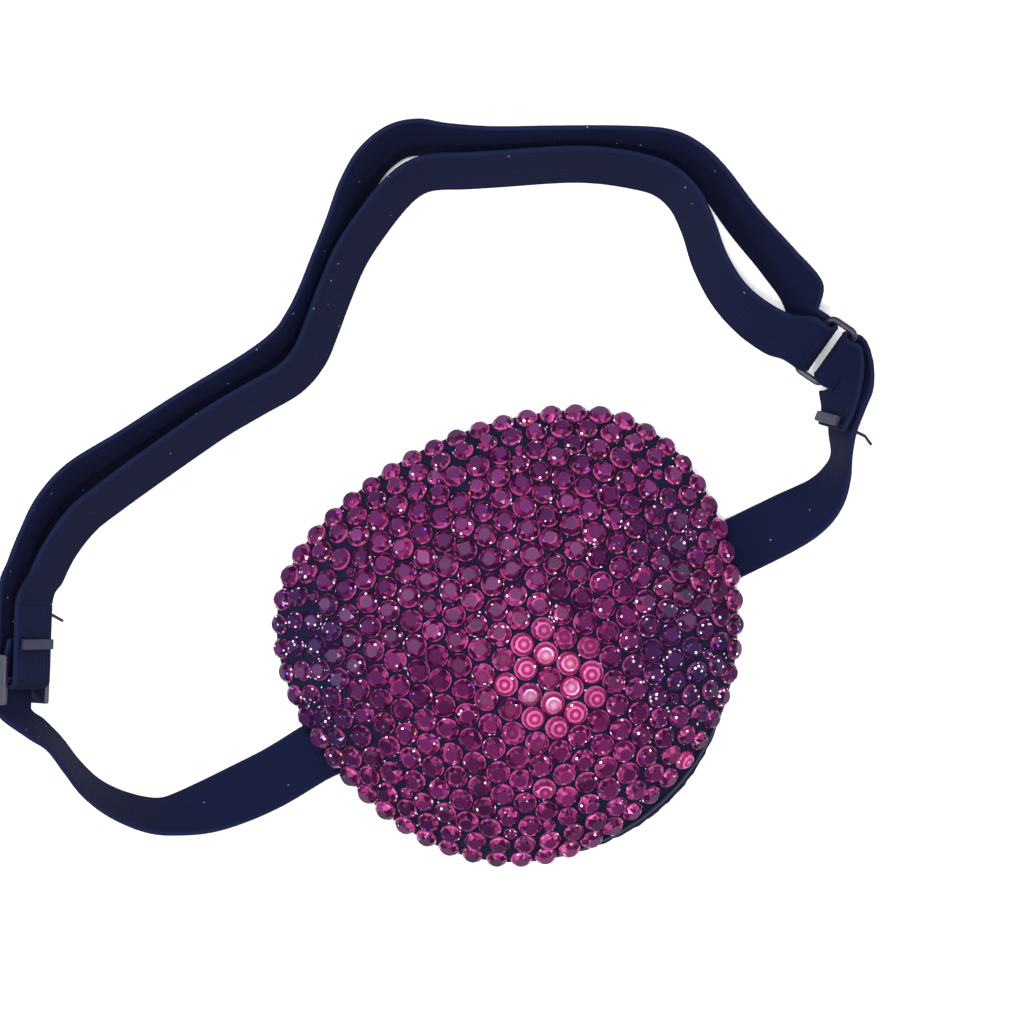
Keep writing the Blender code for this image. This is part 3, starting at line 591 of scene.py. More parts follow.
innerRoute = [
    (-63.9, 42.6, 62), (-60.0, 45.6, 62), (-55.0, 48.2, 60), (-50.2, 49.4, 59), (-40.8, 51.1, 58),
    (-29.1, 52.9, 58), (-21.7, 53.5, 58), (-15.0, 54.0, 58), (-10.6, 55.9, 58), (-6.9, 59.1, 58),
    (-2.7, 63.1, 58), (2.6, 67.6, 58), (8.8, 71.2, 58), (13.4, 73.3, 58), (16.9, 74.1, 58),
    (20.2, 73.6, 58), (24.7, 71.6, 58), (29.5, 69.6, 58), (38.9, 65.8, 58), (44.2, 63.1, 58),
    (49.3, 59.6, 58), (52.6, 56.4, 59), (54.3, 52.2, 59), (54.3, 47.2, 59), (53.6, 41.6, 57),
    (53.9, 35.8, 54), (55.6, 30.6, 49), (58.3, 26.3, 43),
]
tabRoute = [
    (65.6, 14.0, 50), (63.6, 11.2, 60), (60.8, 7.9, 68), (58.9, 4.4, 76), (56.9, 2.1, 66),
    (54.3, 0.2, 50), (51.0, -1.0, 32), (46.0, -1.5, 12),
]
tabTailRoute = [(63.0, 13.4, 52), (61.4, 10.9, 62), (59.4, 9.0, 68)]
ringSettings = {
    "place": Vector((63.95, 20.4, 4.7)) * mm,
    "heading": -60.0,
    "lean": 33.0,
    "barSpacing": 4.8 * mm,
    "loopRadius": 1.5 * mm,
    "lead": 2.4 * mm,
    "tabLead": 2.0 * mm,
}
sliderSettings = {
    "place": Vector((-75.5, 30.2, 6.9)) * mm,
    "heading": 62.0,
    "lean": 60.0,
    "plyPitch": 1.15 * mm,
    "leadIn": 4.85 * mm,
    "straight": 14.0 * mm,
    "sewnEnd": 12.0 * mm,
    "sewnTail": 6.5 * mm,
    "slack": 9.0 * mm,
}


def headingFrame(heading, lean):
    along = Vector((cos(radians(heading)), sin(radians(heading)), 0.0))
    outward = Vector((-along.y, along.x, 0.0))
    across = outward * cos(radians(lean)) + Vector((0.0, 0.0, sin(radians(lean))))
    return along, across, along.cross(across)


def lying(route):
    spots = [Vector((x, y, 0.0)) * mm for x, y, lean in route]
    stations = []
    for index, (x, y, lean) in enumerate(route):
        run = (spots[min(index + 1, len(spots) - 1)] - spots[max(index - 1, 0)]).normalized()
        outward = Vector((-run.y, run.x, 0.0))
        tilt = radians(lean)
        across = outward * cos(tilt) + Vector((0.0, 0.0, sin(tilt)))
        height = strapSettings["floorGap"] + strapSettings["width"] / 2.0 * sin(tilt)
        height += strapSettings["thickness"] / 2.0 * cos(tilt)
        stations.append((spots[index] + Vector((0.0, 0.0, height)), across))
    return stations


def catmull(four, at):
    first, second, third, fourth = four
    return 0.5 * (2.0 * second + (third - first) * at
                  + (2.0 * first - 5.0 * second + 4.0 * third - fourth) * at ** 2
                  + (3.0 * second - first - 3.0 * third + fourth) * at ** 3)


def spline(stations, before=None, after=None):
    guided = [before or stations[0], *stations, after or stations[-1]]
    made = []
    for index in range(len(stations) - 1):
        near = guided[index:index + 4]
        parts = max(1, round((near[2][0] - near[1][0]).length / strapSettings["step"]))
        for part in range(parts):
            made.append(tuple(catmull([item[k] for item in near], part / parts) for k in (0, 1)))
    made.append(stations[-1])
    return [(centre, across.normalized()) for centre, across in made]


def partOf(stations, start, end):
    at = 0.0
    made = []
    for (here, hereAcross), (there, thereAcross) in zip(stations, stations[1:]):
        length = (there - here).length
        for mark in (start, end):
            if at <= mark < at + length:
                share = (mark - at) / length
                made.append((here.lerp(there, share), hereAcross.lerp(thereAcross, share)))
        at += length
        if start + 0.1 * mm < at < end - 0.1 * mm:
            made.append((there, thereAcross))
    if at <= end:
        made.append(stations[-1])
    return [(centre, across.normalized()) for centre, across in made]


def lengthOf(stations):
    return sum((there[0] - here[0]).length for here, there in zip(stations, stations[1:]))


def rootStation(side):
    # where the free strap starts beside the patch
    name = "left_strap_end" if side < 0 else "right_strap_end"
    low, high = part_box(name)
    x = low.x if side < 0 else high.x
    return (Vector((x + side * strapSettings["gap"], (low.y + high.y) / 2.0, (low.z + high.z) / 2.0)),
            Vector((0, -1, 0)))


def onStraight(distance, level):
    along, across, up = headingFrame(sliderSettings["heading"], sliderSettings["lean"])
    return sliderSettings["place"] + along * distance + up * level, across


def ringTurn(side, startLevel):
    along, across, up = headingFrame(ringSettings["heading"], ringSettings["lean"])
    bar = ringSettings["place"] + along * (side * ringSettings["barSpacing"] / 2.0)
    radius = ringSettings["loopRadius"]
    return [(bar - along * (side * radius * sin(turn)) + up * (startLevel * radius * cos(turn)), across)
            for turn in [pi * step / 12 for step in range(13)]]


def ringLead(side, level, distance):
    along, across, up = headingFrame(ringSettings["heading"], ringSettings["lean"])
    bar = ringSettings["place"] + along * (side * ringSettings["barSpacing"] / 2.0)
    return bar + along * (side * distance) + up * (level * ringSettings["loopRadius"]), across


def strapSection():
    # closed outline of the strap's cross-section: ribbed faces and rounded selvedges
    half = strapSettings["width"] / 2.0
    flat = strapSettings["thickness"] / 2.0
    steps = strapSettings["ribs"] * 3
    face = []
    for step in range(steps + 1):
        share = 2.0 * step / steps - 1.0
        bead = strapSettings["selvedge"] * exp(-((1.0 - abs(share)) / 0.10) ** 2)
        rib = strapSettings["ribHeight"] * cos(share * strapSettings["ribs"] * pi)
        rounding = min(1.0, (max(0.0, 1.0 - abs(share)) / 0.05 + 0.25)) ** 0.5
        level = (flat - 2.0 * strapSettings["ribHeight"]) * rounding + rib * rounding + bead
        face.append((half * share, min(level, flat)))
    return face + [(a, -b) for a, b in reversed(face)]


def makeStrap(name, stations, width=None, startAt=0.0):
    # a knitted elastic band through the stations, with its own place map for the weave
    section = strapSection()
    stretch = (width or strapSettings["width"]) / strapSettings["width"]
    count = len(section)
    vertices, marks = [], []
    run = startAt
    for index, (centre, across) in enumerate(stations):
        before = stations[max(index - 1, 0)][0]
        after = stations[min(index + 1, len(stations) - 1)][0]
        out = (after - before).normalized().cross(across).normalized()
        if index:
            run += (centre - stations[index - 1][0]).length
        for a, b in section:
            vertices.append(centre + across * (a * stretch) + out * b)
            marks.append((a / strapSettings["width"] + 0.5, run))
    faces = []
    for index in range(len(stations) - 1):
        for step in range(count):
            following = (step + 1) % count
            faces.append((index * count + step, index * count + following,
                          (index + 1) * count + following, (index + 1) * count + step))
    faces.append(tuple(reversed(range(count))))
    last = (len(stations) - 1) * count
    faces.append(tuple(last + step for step in range(count)))
    made = meshObject(name, vertices, faces, elastic, sharpAngle=65.0)
    layer = made.data.uv_layers.new(name="strapPlace")
    for loop in made.data.loops:
        layer.data[loop.index].uv = marks[loop.vertex_index]
    return made


def fixNormals(made):
    shape = bmesh.new()
    shape.from_mesh(made.data)
    bmesh.ops.recalc_face_normals(shape, faces=shape.faces)
    shape.to_mesh(made.data)
    shape.free()
    return made


def strapEnd(side, name, node):
    low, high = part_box(node)
    stations = []
    for step in range(9):
        x = low.x + (high.x - low.x) * step / 8
        stations.append((Vector((x, (low.y + high.y) / 2.0, (low.z + high.z) / 2.0)),
                         Vector((0.0, 1.0, 0.0))))
    made = fixNormals(makeStrap(name, stations))
    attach(made, "patch")
    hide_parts(node)
    return made


leftEnd = strapEnd(-1, "leftStrapEnd", "left_strap_end")
rightEnd = strapEnd(1, "rightStrapEnd", "right_strap_end")

leftRoot = rootStation(-1)
leftLevel = (leftRoot[0] + Vector((3.0 * mm, 0.0, 0.0)), leftRoot[1])
leftStations = [(leftRoot[0] + Vector((0.45 * mm, 0.0, 0.0)), leftRoot[1]),
                *spline([leftRoot, *lying(leftRoute), onStraight(-sliderSettings["leadIn"], 0.0)],
                        before=leftLevel, after=onStraight(0.0, 0.0)), onStraight(-0.02 * mm, 0.0)]
leftStrap = fixNormals(makeStrap("leftStrap", leftStations))
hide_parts("left_strap")
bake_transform(leftStrap)

sliderStart = onStraight(0.0, 0.0)
outerStations = [sliderStart, *spline([onStraight(sliderSettings["straight"], 0.0), *lying(outerRoute),
                                       ringLead(-1, -1, ringSettings["lead"])],
                                      before=sliderStart, after=ringLead(-1, -1, 0.0))]
outerStations = [*spline(outerStations[:2]), *outerStations[2:], *ringTurn(-1, -1)]
outerRun = fixNormals(makeStrap("outerRun", outerStations, startAt=0.0711))
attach(outerRun, "strap_loop")
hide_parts("outer_run")

innerEnd = onStraight(sliderSettings["sewnEnd"] + 0.02 * mm, 3.0 * sliderSettings["plyPitch"])
innerAll = spline([ringLead(-1, 1, 0.02 * mm), ringLead(-1, 1, ringSettings["lead"]),
                   *reversed(lying(innerRoute)), innerEnd],
                  after=onStraight(0.0, 3.0 * sliderSettings["plyPitch"]))
innerLength = lengthOf(innerAll)
innerSplit = innerLength - sliderSettings["slack"]
innerStations = partOf(innerAll, 0.0, innerSplit)
slackStations = partOf(innerAll, innerSplit, innerLength)
innerRun = fixNormals(makeStrap("innerRun", innerStations))
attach(innerRun, "strap_loop")
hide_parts("inner_run")
innerSlack = fixNormals(makeStrap("innerRunSlack", slackStations, startAt=innerSplit))
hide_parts("inner_run_slack")
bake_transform(innerSlack)


def sewnEndStations():
    along, across, up = headingFrame(sliderSettings["heading"], sliderSettings["lean"])
    pitch = sliderSettings["plyPitch"]
    tail = [onStraight(sliderSettings["sewnTail"] * share, level * pitch)
            for share, level in ((1.0, 1.9), (0.7, 1.55), (0.4, 1.15), (0.15, 1.0))]
    centre, _ = onStraight(0.0, 2.0 * pitch)
    turn = [(centre - along * (pitch * sin(pi * step / 12)) - up * (pitch * cos(pi * step / 12)), across)
            for step in range(13)]
    back = [onStraight(sliderSettings["sewnEnd"] * share, 3.0 * pitch) for share in (0.1, 0.4, 0.7, 1.0)]
    return [*spline(tail), *turn, *spline(back)]


sewnStations = sewnEndStations()
sewnEnd = fixNormals(makeStrap("sewnEnd", sewnStations))
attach(sewnEnd, "sewn_fold")
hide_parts("sewn_end")

rightRoot = rootStation(1)
rightLevel = (rightRoot[0] - Vector((3.0 * mm, 0.0, 0.0)), rightRoot[1])
tabUpper = list(reversed(spline([ringLead(1, 1, 0.0), ringLead(1, 1, ringSettings["tabLead"]),
                                 *lying(tabTailRoute)])))
tabLower = spline([ringLead(1, -1, 0.0), ringLead(1, -1, ringSettings["tabLead"]), *lying(tabRoute),
                   rightRoot],
                  after=rightLevel)
tabStations = [*tabUpper[:-1], *ringTurn(1, 1), *tabLower[1:],
               (rightRoot[0] - Vector((0.45 * mm, 0.0, 0.0)), rightRoot[1])]
rightTab = fixNormals(makeStrap("rightTab", tabStations))
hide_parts("right_tab")
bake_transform(rightTab)

report("straps")


# the patch: outline, seat of the stones and cloth layers

patchShape = {
    "roundRadius": 35.0 * mm,
    "cornerReach": 5.1 * mm,
    "cornerAngle": 124.0,
    "cornerBelow": 34.0,
    "cornerAbove": 28.0,
    "cheek": (1.2 * mm, -38.0, 32.0),
    "flat": (0.4 * mm, 45.0, 25.0),
    "bindingHeight": 3.0 * mm,
    "seatRim": 3.7 * mm,          # height of the stone seat at the rim
    "seatCrown": 16.1 * mm,
    "domeShare": 0.85,            # the rest of the height falls close to the rim
    "domePower": 2.4,
    "shoulderPower": 14.0,
    "seatInset": 0.6 * mm,
    "clothMargin": 1.9 * mm,      # extra bare cloth on the cheek side
    "clothAt": 16.0,
    "clothSpread": 26.0,
}


def outlineReach(azimuth):
    # distance from the middle to the outline; azimuth in radians, 0 at the chin side
    degrees = azimuth * 180.0 / pi
    signed = (degrees + 180.0) % 360.0 - 180.0
    turned = np.abs(signed)
    spread = np.where(turned > patchShape["cornerAngle"], patchShape["cornerAbove"],
                      patchShape["cornerBelow"])
    reach = patchShape["roundRadius"] + patchShape["cornerReach"] * np.exp(
        -((turned - patchShape["cornerAngle"]) / spread) ** 2)
    for label, sign in (("cheek", 1.0), ("flat", -1.0)):
        amount, at, width = patchShape[label]
        reach = reach + sign * amount * np.exp(-((signed - at) / width) ** 2)
    return reach


def seatReach(azimuth):
    degrees = (azimuth * 180.0 / pi + 180.0) % 360.0 - 180.0
    margin = patchShape["clothMargin"] * np.exp(
        -((degrees - patchShape["clothAt"]) / patchShape["clothSpread"]) ** 2)
    return outlineReach(azimuth) - patchShape["seatInset"] - margin


def seatHeight(x, y):
    azimuth = np.arctan2(x, -y)
    share = np.minimum(np.hypot(x, y) / seatReach(azimuth), 1.0)
    dome = patchShape["domeShare"] * share ** patchShape["domePower"]
    shoulder = (1.0 - patchShape["domeShare"]) * share ** patchShape["shoulderPower"]
    return patchShape["seatRim"] + (patchShape["seatCrown"] - patchShape["seatRim"]) * (1.0 - dome - shoulder)


def seatNormal(x, y):
    step = 0.05 * mm
    dx = (seatHeight(x + step, y) - seatHeight(x - step, y)) / (2.0 * step)
    dy = (seatHeight(x, y + step) - seatHeight(x, y - step)) / (2.0 * step)
    normal = np.stack([-dx, -dy, np.ones_like(dx)], axis=-1)
    return normal / np.linalg.norm(normal, axis=-1, keepdims=True)


domeMesh = {"around": 120, "rings": 34, "coverThickness": 0.5 * mm}


def seatShell(name, finish, lift, thickness, reachShare=1.0):
    # a dome-shaped layer: its outer face is lift above the stone seat
    around, rings = domeMesh["around"], domeMesh["rings"]
    vertices = []
    for face in (lift, lift - thickness):
        vertices.append(Vector((0.0, 0.0, float(seatHeight(0.0, 0.0)) + face)))
        for ring in range(1, rings + 1):
            share = reachShare * (ring / rings) ** 0.8
            azimuth = np.arange(around) * 2.0 * pi / around
            radius = seatReach(azimuth) * share
            x, y = radius * np.sin(azimuth), -radius * np.cos(azimuth)
            place = np.stack([x, y, seatHeight(x, y)], axis=-1) + seatNormal(x, y) * face
            vertices.extend(Vector(spot) for spot in place)
    layerSize = 1 + around * rings
    faces = []
    for top, flip in ((0, False), (layerSize, True)):
        for step in range(around):
            following = (step + 1) % around
            tri = (top, top + 1 + step, top + 1 + following)
            faces.append(tuple(reversed(tri)) if flip else tri)
            for ring in range(rings - 1):
                a = top + 1 + ring * around
                quad = (a + step, a + around + step, a + around + following, a + following)
                faces.append(tuple(reversed(quad)) if flip else quad)
    edge = 1 + around * (rings - 1)
    for step in range(around):
        following = (step + 1) % around
        faces.append((edge + step, layerSize + edge + step, layerSize + edge + following, edge + following))
    return fixNormals(meshObject(name, vertices, faces, finish))


outerCover = seatShell("outerCover", coverCloth, 0.0, domeMesh["coverThickness"])
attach(outerCover, "patch")
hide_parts("outer_cover")


def cadDomeShell(name, finish, top, thickness, share):
    # a layer inside the shell, on the shell's own dome
    around, rings = domeMesh["around"], 20
    vertices = []
    for level in (top, top - thickness):
        for ring in range(rings + 1):
            part = share * (ring / rings) ** 0.8
            for step in range(around):
                azimuth = step * 2.0 * pi / around
                reach = float(outlineReach(np.float64(azimuth))) - 4.5 * mm
                slope = -10.4 * mm * 2.4 * max(part, 1e-6) ** 1.4 / reach
                normal = Vector((-slope * sin(azimuth), slope * cos(azimuth), 1.0)).normalized()
                spot = Vector((reach * part * sin(azimuth), -reach * part * cos(azimuth),
                               4.7 * mm + 10.4 * mm * (1.0 - part ** 2.4)))
                vertices.append(spot + normal * level)
    layerSize = (rings + 1) * around
    faces = []
    for base in (0, layerSize):
        for ring in range(rings):
            for step in range(around):
                following = (step + 1) % around
                a = base + ring * around
                faces.append((a + step, a + around + step, a + around + following, a + following))
    edge = rings * around
    for step in range(around):
        following = (step + 1) % around
        faces.append((edge + step, layerSize + edge + step, layerSize + edge + following, edge + following))
    made = meshObject(name, vertices, faces, finish)
    shape = bmesh.new()
    shape.from_mesh(made.data)
    bmesh.ops.remove_doubles(shape, verts=shape.verts, dist=0.01 * mm)
    bmesh.ops.recalc_face_normals(shape, faces=shape.faces)
    shape.to_mesh(made.data)
    shape.free()
    return made


foamPad = cadDomeShell("foamPad", foamStuff, -1.3 * mm, 1.2 * mm, 0.92)
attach(foamPad, "patch")
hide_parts("foam_pad")
innerLining = cadDomeShell("innerLining", liningCloth, -2.8 * mm, 0.5 * mm, 0.925)
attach(innerLining, "patch")
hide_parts("inner_lining")
nodes["moulded_shell"].data.materials.clear()
nodes["moulded_shell"].data.materials.append(board)

bindingSettings = {
    "around": 288,
    "gathers": 0.07 * mm,
    "overStrap": 1.4 * mm,
    "strapHalf": 5.0 * mm,
    "ease": 2.5 * mm,
}


def makeBinding():
    # folded cloth band round the rim, raised where it passes over the sewn strap ends
    around = bindingSettings["around"]
    height = patchShape["bindingHeight"]
    strapY = float(rootStation(-1)[0].y)
    profile = [(0.0, 0.46), (0.05, 0.80), (0.35, 0.95), (1.0, 1.02), (2.2, 1.04), (4.0, 1.02), (6.2, 1.0),
               (6.9, 0.9), (7.2, 0.6), (7.15, 0.25), (6.7, 0.04), (5.5, 0.0), (3.5, 0.0), (1.6, 0.0),
               (0.6, 0.03), (0.12, 0.18)]
    vertices = []
    for step in range(around):
        azimuth = step * 2.0 * pi / around
        reach = float(outlineReach(np.float64(azimuth)))
        x, y = reach * sin(azimuth), -reach * cos(azimuth)
        degrees = (azimuth * 180.0 / pi + 180.0) % 360.0 - 180.0
        tuck = 0.85 * (1.0 - exp(-((degrees - patchShape["clothAt"]) / patchShape["clothSpread"]) ** 2))
        beside = max(0.0, abs(y - strapY) - bindingSettings["strapHalf"]) / bindingSettings["ease"]
        raised = bindingSettings["overStrap"] * exp(-beside ** 2) if abs(x) > 0.025 else 0.0
        gather = bindingSettings["gathers"] * (sin(azimuth * 71.0) + 0.6 * sin(azimuth * 113.0 + 1.0))
        for inset, share in profile:
            out = (reach - max(inset, tuck) * mm
                   + gather * (1.0 if share > 0.3 else 0.2) * (1.0 if inset < 3.0 else 0.3))
            out = min(out, reach)
            level = raised + (height - raised) * share if share < 1.0 else height * share
            vertices.append((out * sin(azimuth), -out * cos(azimuth), max(level, 0.0)))
    count = len(profile)
    faces = []
    for step in range(around):
        following = (step + 1) % around
        for edge in range(count):
            after = (edge + 1) % count
            faces.append((step * count + edge, step * count + after, following * count + after,
                          following * count + edge))
    return fixNormals(meshObject("edgeBinding", vertices, faces, bindingCloth, sharpAngle=60.0))


edgeBinding = makeBinding()
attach(edgeBinding, "patch")
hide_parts("edge_binding")
report("cloth layers")


# what repeats: a tree that sets a small shape on every point of a mesh


def makeScatterTree():
    tree = bpy.data.node_groups.new("setOnPoints", "GeometryNodeTree")
    face = tree.interface
    face.new_socket(name="Points", in_out="INPUT", socket_type="NodeSocketGeometry")
    face.new_socket(name="Shape", in_out="INPUT", socket_type="NodeSocketObject")
    face.new_socket(name="Size", in_out="INPUT", socket_type="NodeSocketFloat")
    face.new_socket(name="Seed", in_out="INPUT", socket_type="NodeSocketInt")
    face.new_socket(name="Finish", in_out="INPUT", socket_type="NodeSocketMaterial")
    face.new_socket(name="Result", in_out="OUTPUT", socket_type="NodeSocketGeometry")
    given = tree.nodes.new("NodeGroupInput").outputs
    result = tree.nodes.new("NodeGroupOutput").inputs
    points = put(tree, "GeometryNodeMeshToPoints", {"Mesh": given["Points"]})
    shape = put(tree, "GeometryNodeObjectInfo", {"Object": given["Shape"]})
    turn = put(tree, "GeometryNodeInputNamedAttribute", {"Name": "turn"}, data_type="FLOAT_VECTOR")
    spread = put(tree, "GeometryNodeInputNamedAttribute", {"Name": "spread"}, data_type="FLOAT_VECTOR")
    rotation = put(tree, "FunctionNodeEulerToRotation", {0: turn.outputs["Attribute"]})
    scale = put(tree, "ShaderNodeVectorMath", {0: spread.outputs["Attribute"], 3: given["Size"]},
                operation="SCALE")
    placed = put(tree, "GeometryNodeInstanceOnPoints", {
        "Points": points.outputs[0], "Instance": shape.outputs["Geometry"],
        "Rotation": rotation.outputs[0], "Scale": scale.outputs["Vector"]})
    real = put(tree, "GeometryNodeRealizeInstances", {0: placed.outputs[0]})
    draw = put(tree, "FunctionNodeRandomValue", {"Seed": given["Seed"]}, data_type="FLOAT")
    stored = put(tree, "GeometryNodeStoreNamedAttribute", {
        "Geometry": real.outputs[0], "Name": "facetTone", "Value": draw.outputs[1]},
        data_type="FLOAT", domain="FACE")
    finished = put(tree, "GeometryNodeSetMaterial",
                   {"Geometry": stored.outputs[0], "Material": given["Finish"]})
    tree.links.new(finished.outputs[0], result["Result"])
    return tree


scatterTree = makeScatterTree()


def setOnPoints(name, places, turns, spreads, shape, size, seed, finish, extra=None):
    # instances shape on the places, realized into one plain mesh
    mesh = bpy.data.meshes.new(name)
    mesh.from_pydata([tuple(place) for place in places], [], [])
    for label, rows in (("turn", turns), ("spread", spreads)):
        layer = mesh.attributes.new(label, "FLOAT_VECTOR", "POINT")
        layer.data.foreach_set("vector", np.array([tuple(row) for row in rows], np.float32).ravel())
    for label, values in (extra or {}).items():
        layer = mesh.attributes.new(label, "FLOAT", "POINT")
        layer.data.foreach_set("value", np.array(values, np.float32))
    made = bpy.data.objects.new(name, mesh)
    bpy.context.scene.collection.objects.link(made)
    modifier = made.modifiers.new("setOnPoints", "NODES")
    modifier.node_group = scatterTree
    values = {"Shape": shape, "Size": size, "Seed": seed, "Finish": finish}
    for item in scatterTree.interface.items_tree:
        if item.in_out == "INPUT" and item.name in values:
            modifier[item.identifier] = values[item.name]
    bpy.context.view_layer.update()
    return applyModifiers(made)


# stones

stoneSettings = {
    "height": 1.6 * mm,
    "tableShare": 0.56,
    "girdleLow": 0.22,
    "girdleHigh": 0.38,
    "spacing": 3.98 * mm,
    "smallest": 3.3 * mm,
    "largest": 4.3 * mm,
    "smallFiller": 1.6 * mm,
    "sunk": 0.12 * mm,
    "rimArc": 1.3 * mm,
    "rowPitch": 3.42 * mm,
    "tilt": 4.0,
    "roughTilt": 15.0,
    "seed": 11,
    "relaxRounds": 90,
    "crownArc": 6.15 * mm,        # the cluster at the crown, as in the frame
    "rowArc": 3.5 * mm,
    "rows": 8,
    # places in mm, size in mm, strength
    # spots of painted flash glow on the stones
    "paintedFlash": [(1.0, -7.4, 8.5, 1.0), (14.6, -28.3, 3.2, 0.9), (-5.2, -22.9, 2.6, 0.8), (-9.7, -30.7, 4.5, 0.6)],
    # zones of painted shade on the dome's flanks
    "paintedShadeZone": [(-29.5, 16.4, 8.5, 1.0), (21.3, -13.8, 8.5, 1.0), (28.0, 4.0, 5.5, 0.6), (-33.0, 2.0, 6.0, 0.7)],
    # wider pools of painted glow
    "paintedGlowPools": [(-2.0, -6.0, 17.0, 0.38), (10.0, -24.0, 9.0, 0.30)],
}


def stoneShape():
    # one stone, radius 1 and height 1: octagonal table, star and kite facets, girdle and flat back
    shape = bmesh.new()
    table, low, high = stoneSettings["tableShare"], stoneSettings["girdleLow"], stoneSettings["girdleHigh"]

    def circle(count, radius, level, turn=0.0):
        return [shape.verts.new((radius * cos(2.0 * pi * (k + turn) / count),
                                 radius * sin(2.0 * pi * (k + turn) / count), level)) for k in range(count)]

    top = circle(8, table, 1.0)
    middle = circle(8, 0.80, 0.80, 0.5)
    upper = circle(16, 1.0, high)
    lower = circle(16, 1.0, low)
    back = circle(16, 0.93, 0.0)
    shape.faces.new(top)
    for k in range(8):
        n = (k + 1) % 8
        shape.faces.new((top[k], middle[k], top[n]))
        shape.faces.new((top[k], middle[k - 1], upper[2 * k], middle[k]))
        shape.faces.new((middle[k], upper[2 * k], upper[2 * k + 1]))
        shape.faces.new((middle[k], upper[2 * k + 1], upper[(2 * k + 2) % 16]))
    for k in range(16):
        n = (k + 1) % 16
        shape.faces.new((upper[k], lower[k], lower[n], upper[n]))
        shape.faces.new((lower[k], back[k], back[n], lower[n]))
    shape.faces.new(list(reversed(back)))
    bmesh.ops.recalc_face_normals(shape, faces=shape.faces)
    mesh = bpy.data.meshes.new("stoneShape")
    shape.to_mesh(mesh)
    shape.free()
    layer = mesh.attributes.new("gemPlace", "FLOAT_VECTOR", "POINT")
    layer.data.foreach_set("vector", np.array([tuple(v.co) for v in mesh.vertices], np.float32).ravel())
    made = bpy.data.objects.new("stoneShape", mesh)
    bpy.context.scene.collection.objects.link(made)
    return made


def meridians():
    # arc length from the rim to the crown along each azimuth, as a table of places
    azimuth = np.arange(360) * pi / 180.0
    shares = np.linspace(1.0, 0.0, 200)
    radius = seatReach(azimuth)[:, None] * shares[None, :]
    x, y = radius * np.sin(azimuth)[:, None], -radius * np.cos(azimuth)[:, None]
    z = seatHeight(x, y)
    steps = np.sqrt(np.diff(x) ** 2 + np.diff(y) ** 2 + np.diff(z) ** 2)
    arc = np.concatenate([np.zeros((360, 1)), np.cumsum(steps, axis=1)], axis=1)
    return azimuth, shares, arc


def ringTrack(arc, azimuth, shares, depth):
    # plan places of the line that lies depth inside the rim, measured along the dome
    share = np.array([np.interp(depth, arc[k], shares) for k in range(360)])
    radius = seatReach(azimuth) * share
    return radius * np.sin(azimuth), -radius * np.cos(azimuth)


def evenOnTrack(x, y, pitch, phase):
    x, y = np.append(x, x[0]), np.append(y, y[0])
    z = seatHeight(x, y)
    run = np.concatenate([[0.0], np.cumsum(np.sqrt(np.diff(x) ** 2 + np.diff(y) ** 2 + np.diff(z) ** 2))])
    count = max(1, round(run[-1] / pitch))
    marks = (np.arange(count) + phase) * run[-1] / count
    return np.stack([np.interp(marks, run, x), np.interp(marks, run, y)], axis=-1)


def stonePlaces():
    # two rows that follow the rim, and a honeycomb inside them, eased apart until it fits
    draw = np.random.default_rng(stoneSettings["seed"])
    azimuth, shares, arc = meridians()
    rim = evenOnTrack(*ringTrack(arc, azimuth, shares, stoneSettings["rimArc"]),
                      stoneSettings["spacing"] * 0.985, 0.0)
    second = evenOnTrack(*ringTrack(arc, azimuth, shares,
                                    stoneSettings["rimArc"] + stoneSettings["rowPitch"]),
                         stoneSettings["spacing"] * 1.0, 0.5)
    fixed = np.concatenate([rim, second])
    pitch = stoneSettings["spacing"]
    lattice = []
    for row in range(-14, 15):
        for column in range(-14, 15):
            u = (column + 0.5 * (row % 2)) * pitch
            v = row * pitch * 0.866
            lattice.append((u * cos(0.2) - v * sin(0.2), u * sin(0.2) + v * cos(0.2)))
    inner = []
    for u, v in lattice:
        flat = hypot(u, v)
        k = int(floor(atan2(u, -v) / pi * 180.0)) % 360
        total = arc[k][-1]
        if flat < total - stoneSettings["rimArc"] - 1.6 * stoneSettings["rowPitch"]:
            share = float(np.interp(total - flat, arc[k], shares))
            radius = float(seatReach(azimuth[k])) * share
            inner.append((radius * u / max(flat, 1e-9), radius * v / max(flat, 1e-9)))
    free = np.array(inner) + draw.normal(0.0, 0.18 * mm, (len(inner), 2))
    limit = np.stack(ringTrack(arc, azimuth, shares,
                               stoneSettings["rimArc"] + 1.7 * stoneSettings["rowPitch"]), axis=-1)
    limitRadius = np.hypot(limit[:, 0], limit[:, 1])
    for attempt in range(3):
        free = easeApart(free, fixed, azimuth, limitRadius)
        everything = np.concatenate([fixed, free])
        gaps = nearestGaps(everything)[len(fixed):]
        crowded = np.flatnonzero(gaps < stoneSettings["smallest"])
        if not len(crowded):
            break
        free = np.delete(free, crowded[::2], axis=0)
    flat = np.concatenate([fixed, free])
    size = np.clip(nearestGaps(flat), stoneSettings["smallest"], stoneSettings["largest"]) / 2.0
    rimRadius = np.hypot(*ringTrack(arc, azimuth, shares, stoneSettings["rimArc"]))
    flat, size = fillGaps(flat, size, azimuth, rimRadius)
    return flat, size, len(rim), draw


